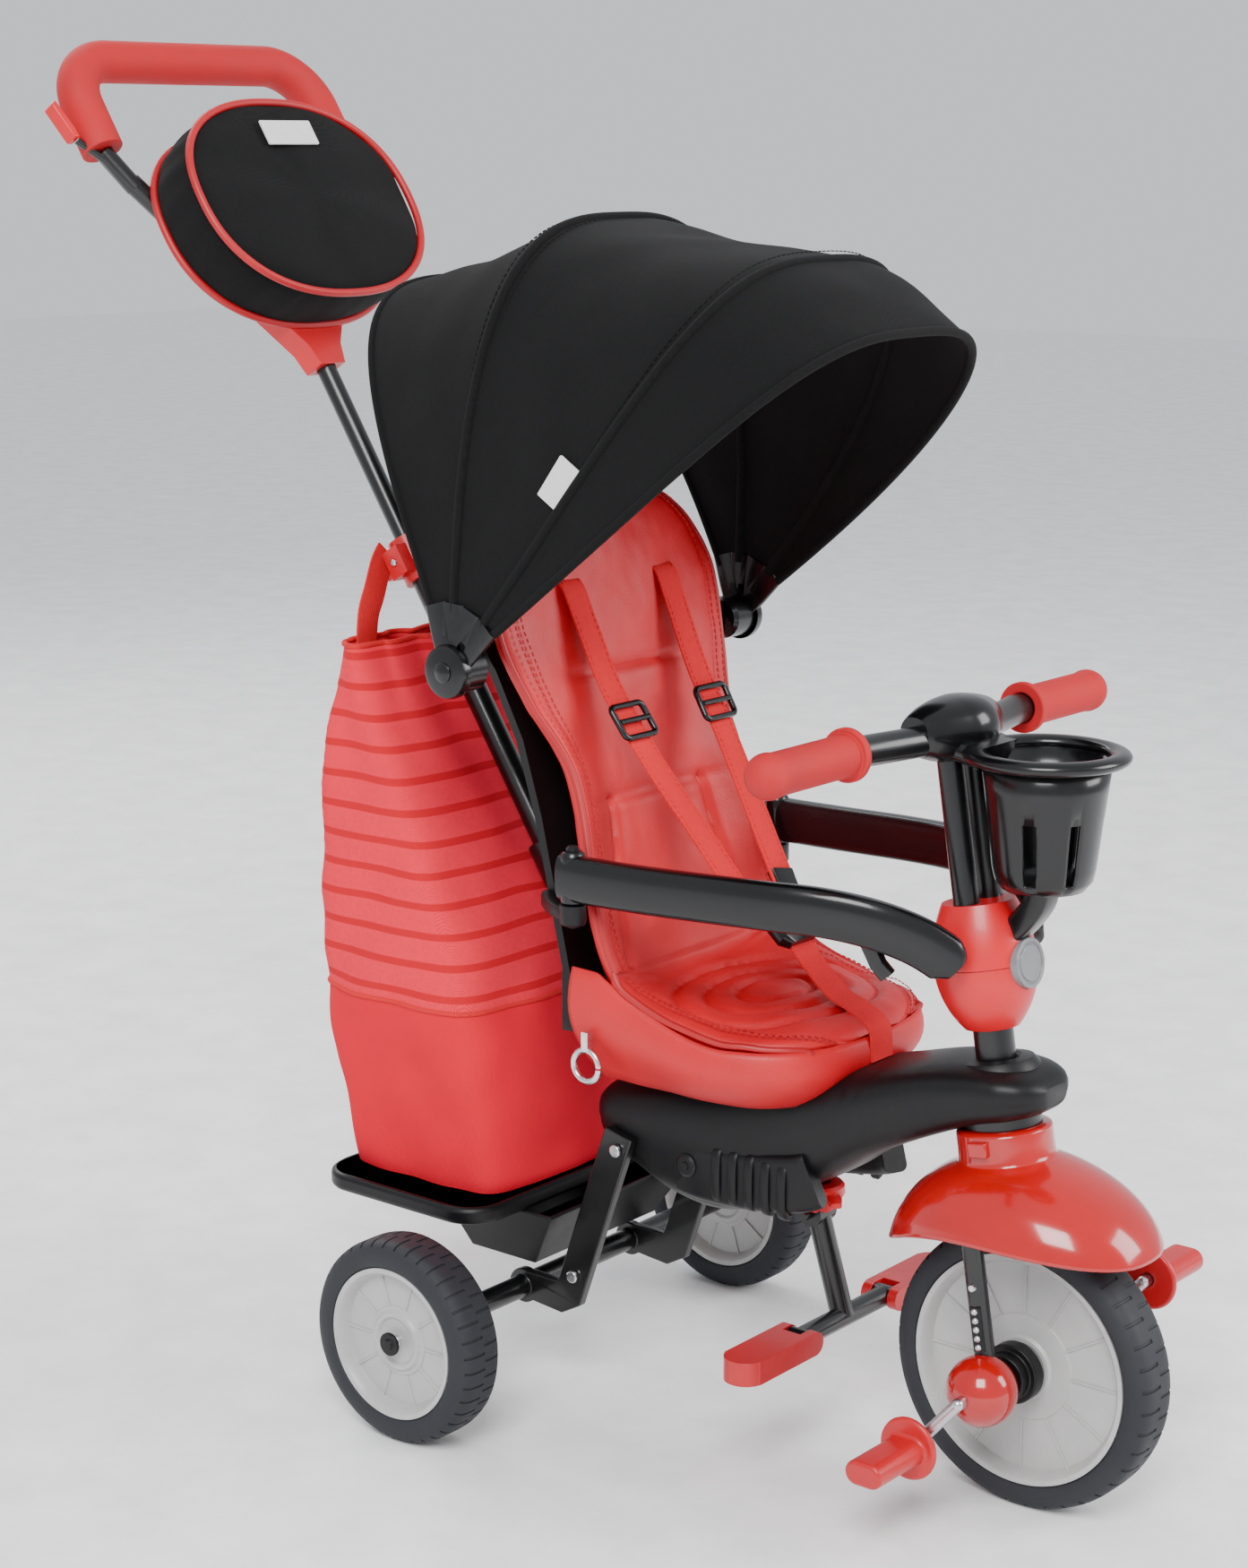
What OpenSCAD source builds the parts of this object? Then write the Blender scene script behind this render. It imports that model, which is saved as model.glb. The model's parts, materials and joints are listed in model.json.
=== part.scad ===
// Children's push tricycle: raked front fork, padded seat, folding canopy, telescopic parent handle.
// All sizes are in millimetres. X points forward, Z up, the ground is Z = 0.

/* [Wheels] */
// front wheel outside radius
front_r = 105; // [80:1:140]
// front wheel rim radius
front_rim_r = 85; // [60:1:120]
// front tyre width
front_w = 43; // [30:1:60]
// rear wheel outside radius
rear_r = 79; // [60:1:110]
// rear wheel rim radius
rear_rim_r = 58; // [40:1:90]
// rear tyre width
rear_w = 42; // [30:1:60]
// distance of each rear wheel's middle from the centre plane
rear_track = 203.4; // [150:0.1:260]
// distance between the axles
wheelbase = 423; // [350:1:550]

/* [Steering] */
// backward lean of the steering axis, degrees
rake = 9.3; // [0:0.1:20]
// radius of the steering stem
stem_r = 14.5; // [10:0.5:20]
// half distance between the fork legs
fork_y = 57; // [40:1:70]
// height of the handlebar along the steering axis from the wheel centre
bar_w = 452; // [380:1:520]
// half length of the handlebar over its grips
bar_half = 215; // [150:1:260]
// cup holder inside floor height
cup_floor = 456; // [430:1:480]

/* [Pedals] */
// crank radius from wheel axle to pedal axle
crank_r = 53; // [40:1:80]
// crank wire radius
crank_wire = 4.5; // [3:0.5:7]

/* [Seat] */
// backward lean of the seat back, degrees
seat_lean = 12.4; // [0:0.1:30]
// height of the seat cushion's top
seat_z = 332; // [280:1:380]
// half width of the seat back at its shoulders
shoulder_y = 130; // [100:1:160]

/* [Parent handle] */
// backward lean of the mast, degrees
mast_lean = 32.8; // [20:0.1:45]
// outside radius of the mast's lower tube
mast_r = 10; // [8:0.5:14]
// outside radius of the mast's sliding tube
slide_r = 8; // [6:0.5:12]

/* [Canopy] */
// hinge height
canopy_z = 588; // [520:1:640]
// hinge distance ahead of the rear axle
canopy_x = 25; // [-20:1:80]

/* [Hidden] */
// shift that centres the length over the origin
x_mid = 44;
// running clearance on a radius
run = 0.05;
$fn = 48;
// stepped canopy panels: first angle, last angle, top radius, half width
rear_panel = [-22, 5, 306, 160];
mid_panel = [4, 33, 326, 164];
front_panel = [31, 60, 366, 168];

// Places a child in the frame's own origin.
module placed() {
  translate([-x_mid, 0, 0]) children();
}

// Puts children on the steering axis, with Z up the axis from the wheel centre.
module on_steer() {
  translate([wheelbase, 0, front_r]) rotate([0, -rake, 0]) children();
}

// Puts children on the mast: X up the mast, Y to the right side, Z out of its front.
module on_mast() {
  translate([-31, 0, 417]) rotate([0, -90 - mast_lean, 0]) rotate([180, 0, 0]) children();
}

// Puts children on the seat back: X across, Y up the back, Z out of its front.
module on_back() {
  translate([85, 0, 385]) rotate([0, -seat_lean, 0]) rotate([90, 0, 90]) children();
}

// Round rod between two points.
module rod(p, q, r) {
  v = q - p;
  translate(p) rotate([0, acos(v[2] / norm(v)), atan2(v[1], v[0])]) cylinder(r = r, h = norm(v));
}

// Rod chain whose corners are balls a little fatter than the rod.
module bent_rod(pts, r) {
  for (i = [0:len(pts) - 2]) {
    rod(pts[i], pts[i + 1], r);
  }
  for (i = [1:len(pts) - 2]) {
    translate(pts[i]) sphere(r = r * 1.03);
  }
}

// Flat strap between two points, wide across Y.
module strap(p, q, w, t) {
  v = q - p;
  translate(p) rotate([0, acos(v[2] / norm(v)), atan2(v[1], v[0])]) translate([-t / 2, -w / 2, -2])
    cube([t, w, norm(v) + 4]);
}

// Copies children onto the left side too.
module both_sides() {
  children();
  mirror([0, 1, 0]) children();
}

// Cylinder lying across the tricycle.
module across(x, y0, y1, z, r) {
  translate([x, y0, z]) rotate([-90, 0, 0]) cylinder(r = r, h = y1 - y0);
}

// ---- body casing ----
module casing_plan(cut) {
  linear_extrude(400) difference() {
    union() {
      polygon([[60, -62], [250, -60], [392, -42], [392, 42], [250, 60], [60, 62]]);
      translate([390, 0]) circle(r = 42);
    }
    translate([390, 0]) circle(r = cut);
  }
}

module casing_solid(side) {
  intersection() {
    casing_plan(0.01);
    translate([0, 100, 0]) rotate([90, 0, 0]) linear_extrude(200) polygon(side);
  }
}

module head_hole() {
  on_steer() translate([0, 0, 150]) cylinder(r = 20.1, h = 120);
}

module casing_upper() {
  color([0.12, 0.11, 0.13]) placed() difference() {
    casing_solid([[73, 257], [283, 303], [347, 322], [380, 326], [410, 326], [432, 320],
      [404, 316.2], [249, 260.2], [98, 205.2], [76, 216]]);
    head_hole();
    rod([-20, 0, 400.1], [70, 0, 234.4], 12.2);
    translate([90, -48, 240]) rotate([0, -12.4, 0]) cube([200, 96, 22]);
  }
}

module casing_lower() {
  color([0.12, 0.11, 0.13]) placed() difference() {
    union() {
      casing_solid([[98, 205], [249, 260], [404, 316], [432, 319.8], [428, 294], [400, 289], [297, 239],
        [252, 206], [214, 192], [184, 171], [128, 176]]);
      both_sides() translate([170, -68, 190]) cube([82, 12, 40]);
      both_sides() for (i = [0:4]) {
        translate([183 + i * 15, -74, 190]) cube([7, 10, 40]);
      }
    }
    head_hole();
    on_steer() translate([0, 0, 150]) cylinder(r = 29, h = 38.5);
    on_steer() translate([0, 0, 140]) cylinder(r = 38, h = 37.5);
    translate([234, 0, 180]) cylinder(r = 19.3, h = 19.3);
    translate([140, -50, 185]) cube([84, 100, 30]);
  }
}

module head_tube() {
  color([0.45, 0.45, 0.47]) placed() on_steer() translate([0, 0, 189]) difference() {
    cylinder(r = 20, h = 32);
    translate([0, 0, -1]) cylinder(r = stem_r + run, h = 34);
  }
}

// ---- rear end ----
module rear_axle() {
  color([0.7, 0.7, 0.72]) placed() across(0, -218, 218, rear_r, 5);
}

module rear_frame() {
  color([0.1, 0.1, 0.11]) placed() difference() {
    union() {
      across(0, -180, 180, rear_r, 9);
      both_sides() translate([0, -62.5, 0]) rotate([90, 0, 0]) linear_extrude(8) union() {
        polygon([[-4, 70], [40, 66], [58, 76], [110, 222], [84, 228], [36, 92], [-4, 92]]);
        translate([0, rear_r]) circle(r = 14);
      }
    }
    across(0, -200, 200, rear_r, 5.1);
  }
}

module tray_plan(m) {
  square([170 - 2 * m, 300 - 2 * m - 60], center = true);
  square([170 - 2 * m - 60, 300 - 2 * m], center = true);
  for (sx = [-1, 1], sy = [-1, 1]) {
    translate([sx * (55 - m), sy * (120 - m)]) circle(r = 30);
  }
}

module tray() {
  color([0.11, 0.1, 0.12]) placed() translate([-63, 0, 152]) difference() {
    linear_extrude(14) tray_plan(0);
    translate([0, 0, 4]) linear_extrude(14) tray_plan(6);
  }
}

module bucket() {
  color([0.11, 0.1, 0.12]) placed() difference() {
    hull() {
      translate([-13, 0, 150.5]) cube([118, 180, 2], center = true);
      translate([-16, 0, 104]) cube([66, 150, 2], center = true);
    }
    hull() {
      translate([-13, 0, 153.5]) cube([112, 174, 2], center = true);
      translate([-16, 0, 107]) cube([60, 144, 2], center = true);
    }
  }
}

// ---- shopping bag ----
module bag_shape(t) {
  hull() {
    translate([-70, 0, 162 + t]) cube([130 - 2 * t, 200 - 2 * t, 8], center = true);
    translate([-88, 0, 300]) cube([150 - 2 * t, 224 - 2 * t, 2], center = true);
    translate([-116, 0, 420]) cube([106 - 2 * t, 220 - 2 * t, 2], center = true);
    translate([-187, 0, 584]) cube([34 - 2 * t, 150 - 2 * t, 2], center = true);
  }
}

module shopping_bag() {
  color([0.86, 0.25, 0.27]) placed() difference() {
    bag_shape(0);
    bag_shape(2.5);
    translate([-187, 0, 586]) cube([29, 145, 12], center = true);
  }
}

module bag_straps() {
  color([0.86, 0.3, 0.3]) placed() both_sides() {
    strap([-145.4, -50, 548.6], [-168.8, -50, 584.6], 22, 2);
    strap([-168.5, -50, 586], [-191, -22, 631], 20, 2);
  }
}

// ---- parent handle, fixed part ----
module mast_receiver() {
  color([0.1, 0.1, 0.11]) placed() difference() {
    union() {
      rod([-18, 0, 396], [62, 0, 249.1], 12);
      on_mast() translate([-30, 0, 0]) rotate([0, 90, 0]) cylinder(r = 15, h = 36);
    }
    on_mast() translate([-22, 0, 0]) rotate([0, 90, 0]) cylinder(r = mast_r + 0.1, h = 60);
  }
}

module mast_lower_tube() {
  color([0.08, 0.08, 0.09]) placed() on_mast() translate([-21.5, 0, 0]) rotate([0, 90, 0]) difference() {
    cylinder(r = mast_r, h = 283.5);
    translate([0, 0, 6]) cylinder(r = slide_r + run, h = 290);
  }
}

module mast_clamp() {
  color([0.82, 0.18, 0.16]) placed() on_mast() translate([240, 0, 0]) difference() {
    union() {
      rotate([0, 90, 0]) cylinder(r = 15, h = 37);
      translate([6, 0, -9]) cube([24, 24, 18]);
      translate([12, -13, -24]) cube([14, 26, 14]);
    }
    translate([-1, 0, 0]) rotate([0, 90, 0]) cylinder(r = mast_r + 0.1, h = 23.1);
    translate([10, 0, 0]) rotate([0, 90, 0]) cylinder(r = slide_r + 0.3, h = 40);
    translate([18, 16.5, 0]) rotate([-90, 0, 0]) cylinder(r = 3.1, h = 8);
  }
}

module frame_bolts() {
  color([0.75, 0.75, 0.77]) placed() {
    on_mast() translate([258, 17, 0]) rotate([-90, 0, 0]) cylinder(r = 3, h = 9);
    both_sides() across(96, -74.5, -70.6, 212, 5);
    both_sides() across(53, -74.5, -70.6, 100, 5);
  }
}

// ---- seat ----
module pan_plan(m) {
  intersection() {
    translate([96 + m, -110 + m]) square([184 - 2 * m, 220 - 2 * m]);
    union() {
      translate([192, 0]) circle(r = 116 - m);
      translate([96, -110 + m]) square([96, 220 - 2 * m]);
    }
  }
}

module back_plan(m) {
  polygon([[-96 + m, -40], [-98 + m, 90], [-104 + m, 150], [-shoulder_y + m, 236],
    [shoulder_y - m, 236], [104 - m, 150], [98 - m, 90], [96 - m, -40]]);
  for (s = [-1, 1]) {
    translate([s * (shoulder_y - 62), 236]) circle(r = 62 - m);
  }
  translate([0, 244]) circle(r = 72 - m);
}

module seat_shell() {
  color([0.1, 0.1, 0.11]) placed() {
    translate([0, 0, 304.5]) linear_extrude(6) pan_plan(6);
    translate([0, 45, 0]) rotate([90, 0, 0]) linear_extrude(90)
      polygon([[110, 265.7], [276, 302], [276, 305], [110, 305]]);
    on_back() translate([0, 0, -32]) linear_extrude(7) back_plan(6);
    translate([57, -88, 304.5]) cube([50, 176, 6]);
    translate([57, -88, 304.5]) cube([9, 176, 47]);
  }
}

module seat_cushion() {
  color([0.85, 0.2, 0.18]) placed() {
    translate([0, 0, 311]) linear_extrude(seat_z - 311) pan_plan(0);
    difference() {
      on_back() translate([0, 0, -24.5]) linear_extrude(23) back_plan(0);
      translate([0, -200, 200]) cube([200, 400, 132.5]);
    }
  }
}

module seat_skirt() {
  color([0.8, 0.17, 0.17]) placed() difference() {
    translate([0, 0, 276]) linear_extrude(34.5) pan_plan(0);
    translate([0, 0, 270]) linear_extrude(60) pan_plan(5);
    translate([80, -70, 260]) cube([300, 140, 48]);
    translate([50, -90, 260]) cube([60, 180, 80]);
  }
}

module harness_straps() {
  color([0.87, 0.33, 0.31]) placed() {
    both_sides() {
      strap([34, -56, 640], [64, -54, 586], 24, 2.5);
      strap([64, -54, 586], [108, -48, 520], 23.4, 2.7);
      strap([108, -48, 520], [176, -27, 418], 24, 2.5);
    }
    strap([226, 0, 374], [266, 0, 342], 26, 2.5);
    strap([266, 0, 342], [283, 0, 328], 25.4, 2.7);
    strap([284, 0, 330], [283, 0, 312], 26, 2.5);
  }
}

module adjuster() {
  difference() {
    cube([34, 22, 5], center = true);
    for (s = [-1, 1]) {
      translate([0, s * 5.5, 0]) cube([27, 5.5, 8], center = true);
    }
  }
}

module harness_hardware() {
  color([0.08, 0.08, 0.09]) placed() {
    both_sides() translate([95, -50, 546]) rotate([0, -33.7, 0]) rotate([0, 90, 0]) rotate([0, 0, 90]) adjuster();
    translate([204, 0, 392]) rotate([0, 39, 0]) difference() {
      cube([40, 46, 14], center = true);
      translate([0, 0, 6]) cube([26, 30, 6], center = true);
    }
  }
}

// ---- safety bars ----
module bar_pivots() {
  color([0.1, 0.1, 0.11]) placed() both_sides() {
    translate([100, -126, 396]) cylinder(r = 14, h = 20);
    translate([100, -126, 414]) cylinder(r = 5, h = 44);
    translate([42, -126, 398]) cube([60, 12, 16]);
    translate([42, -126, 398]) cube([10, 44, 16]);
  }
}

module bar_block(x, y, z, turn) {
  translate([x, y, z]) rotate([0, 0, turn]) intersection() {
    cube([6, 17, 36], center = true);
    rotate([0, 90, 0]) cylinder(r = 19, h = 10, center = true, $fn = 32);
  }
}

module safety_bar() {
  difference() {
    union() {
      translate([100, -126, 419]) cylinder(r = 13, h = 36);
      translate([100, -134, 419]) cube([20, 17, 36]);
      hull() {
        bar_block(122, -125.5, 437, 0);
        bar_block(225, -122, 439, 3);
      }
      hull() {
        bar_block(225, -122, 439, 3);
        bar_block(290, -112, 441, 16);
      }
      hull() {
        bar_block(290, -112, 441, 16);
        bar_block(340, -88, 434, 34);
      }
      hull() {
        bar_block(340, -88, 434, 34);
        bar_block(374, -60, 418, 44);
      }
      translate([330, -84, 398]) rotate([0, 0, 32]) cube([12, 8, 30]);
    }
    translate([100, -126, 410]) cylinder(r = 5 + run, h = 60);
  }
}

module safety_bar_right() {
  color([0.07, 0.07, 0.08]) placed() safety_bar();
}

module safety_bar_left() {
  color([0.07, 0.07, 0.08]) placed() mirror([0, 1, 0]) safety_bar();
}

// ---- canopy ----
module panel_profile(r, hw) {
  translate([0, -hw]) square([r - 110, 2 * hw]);
  translate([0, 110 - hw]) square([r, 2 * hw - 220]);
  for (s = [-1, 1]) {
    translate([r - 110, s * (hw - 110)]) circle(r = 110);
  }
}

module canopy_panel(p) {
  w = p[1] - p[0];
  translate([canopy_x, 0, canopy_z]) {
    rotate([0, p[0] - 90, 0]) rotate([-90, 0, 0]) rotate_extrude(angle = w, $fn = 96) difference() {
      intersection() {
        panel_profile(p[2], p[3]);
        translate([26, -400]) square(800);
      }
      panel_profile(p[2] - 2.5, p[3] - 2.5);
    }
    both_sides() translate([0, -p[3] - 0.3, 0]) rotate([-90, 0, 0]) difference() {
      cylinder(r = 28, h = 3.1);
      translate([0, 0, -1]) cylinder(r = 6 + run, h = 6);
    }
  }
}

module canopy_brackets() {
  color([0.09, 0.09, 0.1]) placed() both_sides() {
    across(canopy_x, -152, -138, canopy_z, 26);
    across(canopy_x, -172, -150, canopy_z, 6);
    across(canopy_x, -176, -169.5, canopy_z, 20);
    translate([-16, -150, canopy_z - 16]) cube([20, 50, 32]);
  }
}

module canopy_rear() {
  color([0.07, 0.07, 0.07]) placed() canopy_panel(rear_panel);
}

module canopy_middle() {
  color([0.08, 0.08, 0.08]) placed() canopy_panel(mid_panel);
}

module canopy_front() {
  color([0.09, 0.09, 0.09]) placed() canopy_panel(front_panel);
}

module snap_hook() {
  color([0.7, 0.7, 0.72]) placed() translate([104, -116, 292]) rotate([90, 0, 0]) difference() {
    union() {
      rotate_extrude() translate([12, 0]) circle(r = 2.4);
      translate([-3, 12, -2.4]) cube([6, 14, 4.8]);
    }
    translate([9, -1, -5]) cube([8, 1.5, 10]);
  }
}

// ---- footrest ----
module footrest_ring() {
  color([0.8, 0.16, 0.15]) placed() difference() {
    union() {
      translate([234, 0, 186]) cylinder(r = 19, h = 13);
      both_sides() translate([224, -19, 166]) cube([20, 7, 24]);
      translate([240, -8, 188]) cube([28, 16, 6]);
    }
    across(234, -30, 30, 176, 3.5 + run);
    across(234, -11.6, 11.6, 176, 13);
  }
}

module footrest_post() {
  color([0.1, 0.1, 0.11]) placed() difference() {
    union() {
      rod([234, 0, 176], [258, 0, 97], 9);
      across(234, -10.5, 10.5, 176, 10);
      across(234, -20, 20, 176, 3.5);
      across(258, -56, 56, 97, 8);
      both_sides() translate([258, -56, 97]) rotate([0, 90, 0]) cylinder(r = 8, h = 15, center = true);
    }
    both_sides() translate([200, -56, 97]) rotate([0, 90, 0]) cylinder(r = 3 + run, h = 120);
  }
}

module foot_peg() {
  translate([244, -56, 97]) rotate([0, 90, 0]) cylinder(r = 3, h = 28);
  for (x = [242, 266]) {
    translate([x, -68, 88]) cube([8, 12, 18]);
    translate([x, -56, 97]) rotate([0, 90, 0]) cylinder(r = 9, h = 8);
  }
  translate([242, -126, 88]) cube([32, 60, 18]);
  intersection() {
    translate([258, -122, 88]) cylinder(r = 16, h = 18);
    translate([200, -160, 80]) cube([100, 40, 40]);
  }
}

module foot_peg_right() {
  color([0.82, 0.17, 0.16]) placed() foot_peg();
}

module foot_peg_left() {
  color([0.82, 0.17, 0.16]) placed() mirror([0, 1, 0]) foot_peg();
}

// ---- steering ----
module fork() {
  color([0.1, 0.1, 0.11]) placed() on_steer() {
    translate([0, -20, 134]) rotate([-90, 0, 0]) cylinder(r = 7.5, h = 40);
    both_sides() bent_rod([[0, -fork_y, 14], [0, -fork_y, 108], [0, -20, 134], [0, -19, 134]], 7.5);
  }
}

module steering_column() {
  color([0.08, 0.08, 0.09]) placed() on_steer() difference() {
    union() {
      translate([0, 0, 138]) cylinder(r = stem_r, h = 172);
      translate([0, 0, 176.4]) cylinder(r = 28, h = 11.4);
      both_sides() translate([0, -15, 300]) cylinder(r = 9.5, h = bar_w - 300);
    }
    translate([0, -20, 134]) rotate([-90, 0, 0]) cylinder(r = 7.6, h = 40);
  }
}

module egg(low, high, bulge) {
  on_steer() difference() {
    translate([0, 0, 293]) rotate_extrude($fn = 72) intersection() {
      translate([37 - bulge, 0]) circle(r = bulge);
      translate([0, low]) square([60, high - low]);
    }
    translate([0, 0, 200]) cylinder(r = stem_r + 0.1, h = 110.2);
    both_sides() translate([0, -15, 299]) cylinder(r = 9.6, h = 80);
    translate([30, 0, 293]) rotate([0, 90, 0]) cylinder(r = 18.2, h = 20);
  }
}

module egg_lower() {
  color([0.82, 0.18, 0.16]) placed() egg(-46, 0, 70);
}

module egg_upper() {
  color([0.84, 0.2, 0.18]) placed() egg(0.4, 45, 100);
}

module egg_badge() {
  color([0.6, 0.6, 0.62]) placed() on_steer() translate([30.1, 0, 293]) rotate([0, 90, 0]) difference() {
    cylinder(r = 18, h = 8);
    translate([0, 0, 6.6]) difference() {
      cylinder(r = 15, h = 3);
      cylinder(r = 13, h = 3, center = true);
    }
  }
}

module bar_points(r) {
  across(350, -18, 18, 556, r);
  both_sides() bent_rod([[350, -17, 556], [350, -18, 556], [332, -100, 556], [332, -bar_half + 6, 556]], r);
}

module handlebar() {
  color([0.08, 0.08, 0.09]) placed() difference() {
    bar_points(11);
    on_steer() both_sides() translate([0, -15, 290]) cylinder(r = 9.6, h = bar_w - 289.9);
  }
}

module handlebar_cover() {
  color([0.09, 0.09, 0.1]) placed() difference() {
    hull() {
      both_sides() translate([338, -24, 562]) sphere(r = 21, $fn = 32);
      both_sides() translate([350, -16, 560]) sphere(r = 21, $fn = 32);
    }
    across(350, -18, 18, 556, 11.1);
    both_sides() bent_rod([[350, -17, 556], [350, -18, 556], [332, -100, 556]], 11.1);
    on_steer() both_sides() translate([0, -15, 290]) cylinder(r = 9.6, h = bar_w - 289.9);
  }
}

module hand_grips() {
  color([0.82, 0.18, 0.18]) placed() both_sides() difference() {
    union() {
      across(332, -bar_half + 10, -112, 556, 15);
      across(332, -116, -110, 556, 19);
      translate([332, -bar_half + 12, 556]) sphere(r = 16);
    }
    across(332, -bar_half + 5.9, -100, 556, 11.05);
  }
}

module cup_holder() {
  color([0.09, 0.09, 0.1]) placed() difference() {
    union() {
      translate([421, 0, cup_floor - 3]) cylinder(r1 = 33, r2 = 44, h = 90);
      translate([421, 0, 543]) cylinder(r = 50, h = 7);
      translate([328, -27, 519]) cube([60, 54, 17]);
      translate([421, 0, 428]) cylinder(r = 10, h = 30);
    }
    translate([421, 0, cup_floor]) cylinder(r1 = 30.8, r2 = 42, h = 95);
    for (a = [-60, 0, 60]) {
      translate([421, 0, 0]) rotate([0, 0, a]) translate([20, -5, cup_floor + 18]) cube([40, 10, 48]);
    }
    on_steer() both_sides() translate([0, -15, 290]) cylinder(r = 9.6, h = 200);
  }
}

module fender_dome(t) {
  hull() {
    translate([514, 0, 206 - t]) sphere(r = 12 - t, $fn = 32);
    translate([309, 0, 186 - t]) sphere(r = 12 - t, $fn = 32);
    for (x = [385, 445], s = [-1, 1]) {
      translate([x, s * 56, 210]) sphere(r = 16 - t, $fn = 32);
    }
    for (x = [360, 455]) {
      translate([x, 0, 226]) sphere(r = 30 - t, $fn = 32);
    }
    on_steer() translate([0, 0, 140]) cylinder(r = 34 - t, h = 12 - t, $fn = 32);
  }
}

module fender() {
  color([0.82, 0.14, 0.12]) placed() difference() {
    union() {
      difference() {
        fender_dome(0);
        fender_dome(3);
        translate([0, 100, 0]) rotate([90, 0, 0]) linear_extrude(200)
          polygon([[200, 100], [600, 100], [600, 207], [350, 207], [298, 176], [200, 176]]);
      }
      on_steer() translate([0, 0, 150.2]) cylinder(r1 = 33, r2 = 36, h = 25.8);
    }
    on_steer() translate([0, 0, 120]) cylinder(r = stem_r + 0.1, h = 80);
    on_steer() translate([-8, -40, 158]) cube([16, 10, 20]);
  }
}

module fender_clip() {
  color([0.85, 0.2, 0.18]) placed() on_steer() difference() {
    translate([-7.5, -39, 160]) cube([15, 8.8, 11]);
    translate([-9, -42, 165]) rotate([45, 0, 0]) cube([20, 3, 3]);
  }
}

module hub_balls() {
  color([0.84, 0.16, 0.14]) placed() on_steer() both_sides() difference() {
    translate([0, -66, 0]) sphere(r = 25.5, $fn = 64);
    translate([0, 0, 0]) rotate([90, 0, 0]) cylinder(r = crank_wire + run, h = 120);
    translate([0, -fork_y, 13.9]) cylinder(r = 7.6, h = 30);
  }
}

// ---- wheels ----
module tyre(ro, ri, w) {
  rotate([90, 0, 0]) rotate_extrude($fn = 120) difference() {
    intersection() {
      translate([ri + 0.1, -w / 2]) square([ro - ri - 0.1, w]);
      translate([ro - 62, 0]) circle(r = 62);
    }
    translate([ro - 1.2, 6]) square([3, 2]);
    translate([ro - 1.2, -8]) square([3, 2]);
  }
}

module rim(r, w, hub, bore) {
  rotate([90, 0, 0]) difference() {
    rotate_extrude($fn = 120) difference() {
      translate([bore, -w / 2 + 3]) square([r - bore, w - 6]);
      translate([hub, w / 2 - 6]) square([r - 5 - hub, 5]);
      translate([hub, 1 - w / 2]) square([r - 5 - hub, 5]);
    }
  }
  for (a = [0:30:330], s = [-1, 1]) {
    rotate([0, a, 0]) translate([hub + 1, s * (w / 2 - 6) - 0.8, -0.8]) cube([r - 7 - hub, 1.6, 1.6]);
  }
}

module front_tyre() {
  color([0.2, 0.21, 0.24]) placed() translate([wheelbase, 0, front_r]) tyre(front_r, front_rim_r, front_w);
}

module front_rim() {
  color([0.67, 0.67, 0.66]) placed() translate([wheelbase, 0, front_r]) rim(front_rim_r, front_w, 24, 4.6);
}

module clutch_hubs() {
  color([0.07, 0.07, 0.08]) placed() translate([wheelbase, 0, front_r]) both_sides() difference() {
    union() {
      across(0, -39.5, -18.6, 0, 17);
      across(0, -30, -18.6, 0, 22);
    }
    across(0, -60, 0, 0, 4.6);
  }
}

module crank() {
  cx = crank_r * 0.66;
  cz = crank_r * 0.75;
  color([0.7, 0.7, 0.7]) placed() translate([wheelbase, 0, front_r]) {
    bent_rod([[-cx, -156, -cz], [-cx, -97, -cz], [0, -97, 0], [0, 97, 0], [cx, 97, cz], [cx, 156, cz]], crank_wire);
  }
}

module pedal() {
  // axle along -Y from the origin
  difference() {
    union() {
      across(0, -107, -102, 0, 23);
      across(-6, -162, -106, 0, 9);
      across(6, -162, -106, 0, 9);
      translate([-6, -162, -9]) cube([12, 56, 18]);
    }
    across(0, -157, -90, 0, crank_wire + run);
  }
}

module pedal_right() {
  color([0.8, 0.16, 0.16]) placed()
    translate([wheelbase - crank_r * 0.66, 0, front_r - crank_r * 0.75]) pedal();
}

module pedal_left() {
  color([0.8, 0.16, 0.16]) placed()
    translate([wheelbase + crank_r * 0.66, 0, front_r + crank_r * 0.75]) mirror([0, 1, 0]) pedal();
}

module rear_rim() {
  translate([0, -rear_track, rear_r]) difference() {
    union() {
      rim(rear_rim_r, rear_w, 14, 5 + run);
      across(0, 0, 20.5, 0, 14);
    }
    across(0, -60, 60, 0, 5 + run);
  }
}

module rear_cap() {
  translate([0, -rear_track, rear_r]) {
    across(0, -21, -18.1, 0, 9);
    across(0, -22.5, -21, 0, 4);
  }
}

module rear_tyre_right() {
  color([0.2, 0.21, 0.24]) placed() translate([0, -rear_track, rear_r]) tyre(rear_r, rear_rim_r, rear_w);
}

module rear_tyre_left() {
  color([0.2, 0.21, 0.24]) placed() translate([0, rear_track, rear_r]) tyre(rear_r, rear_rim_r, rear_w);
}

module rear_rim_right() {
  color([0.67, 0.67, 0.66]) placed() rear_rim();
}

module rear_rim_left() {
  color([0.67, 0.67, 0.66]) placed() mirror([0, 1, 0]) rear_rim();
}

module hub_cap_right() {
  color([0.08, 0.08, 0.08]) placed() rear_cap();
}

module hub_cap_left() {
  color([0.08, 0.08, 0.08]) placed() mirror([0, 1, 0]) rear_cap();
}

// ---- parent handle, sliding part ----
module mast_upper_tube() {
  color([0.08, 0.08, 0.09]) placed() on_mast() translate([136, 0, 0]) rotate([0, 90, 0]) cylinder(r = slide_r, h = 318);
}

module yoke_plan() {
  polygon([[434, -14], [434, 14], [452, 19], [494, 48], [500, 36], [474, 8],
    [474, -8], [500, -36], [494, -48], [452, -19]]);
}

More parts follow.
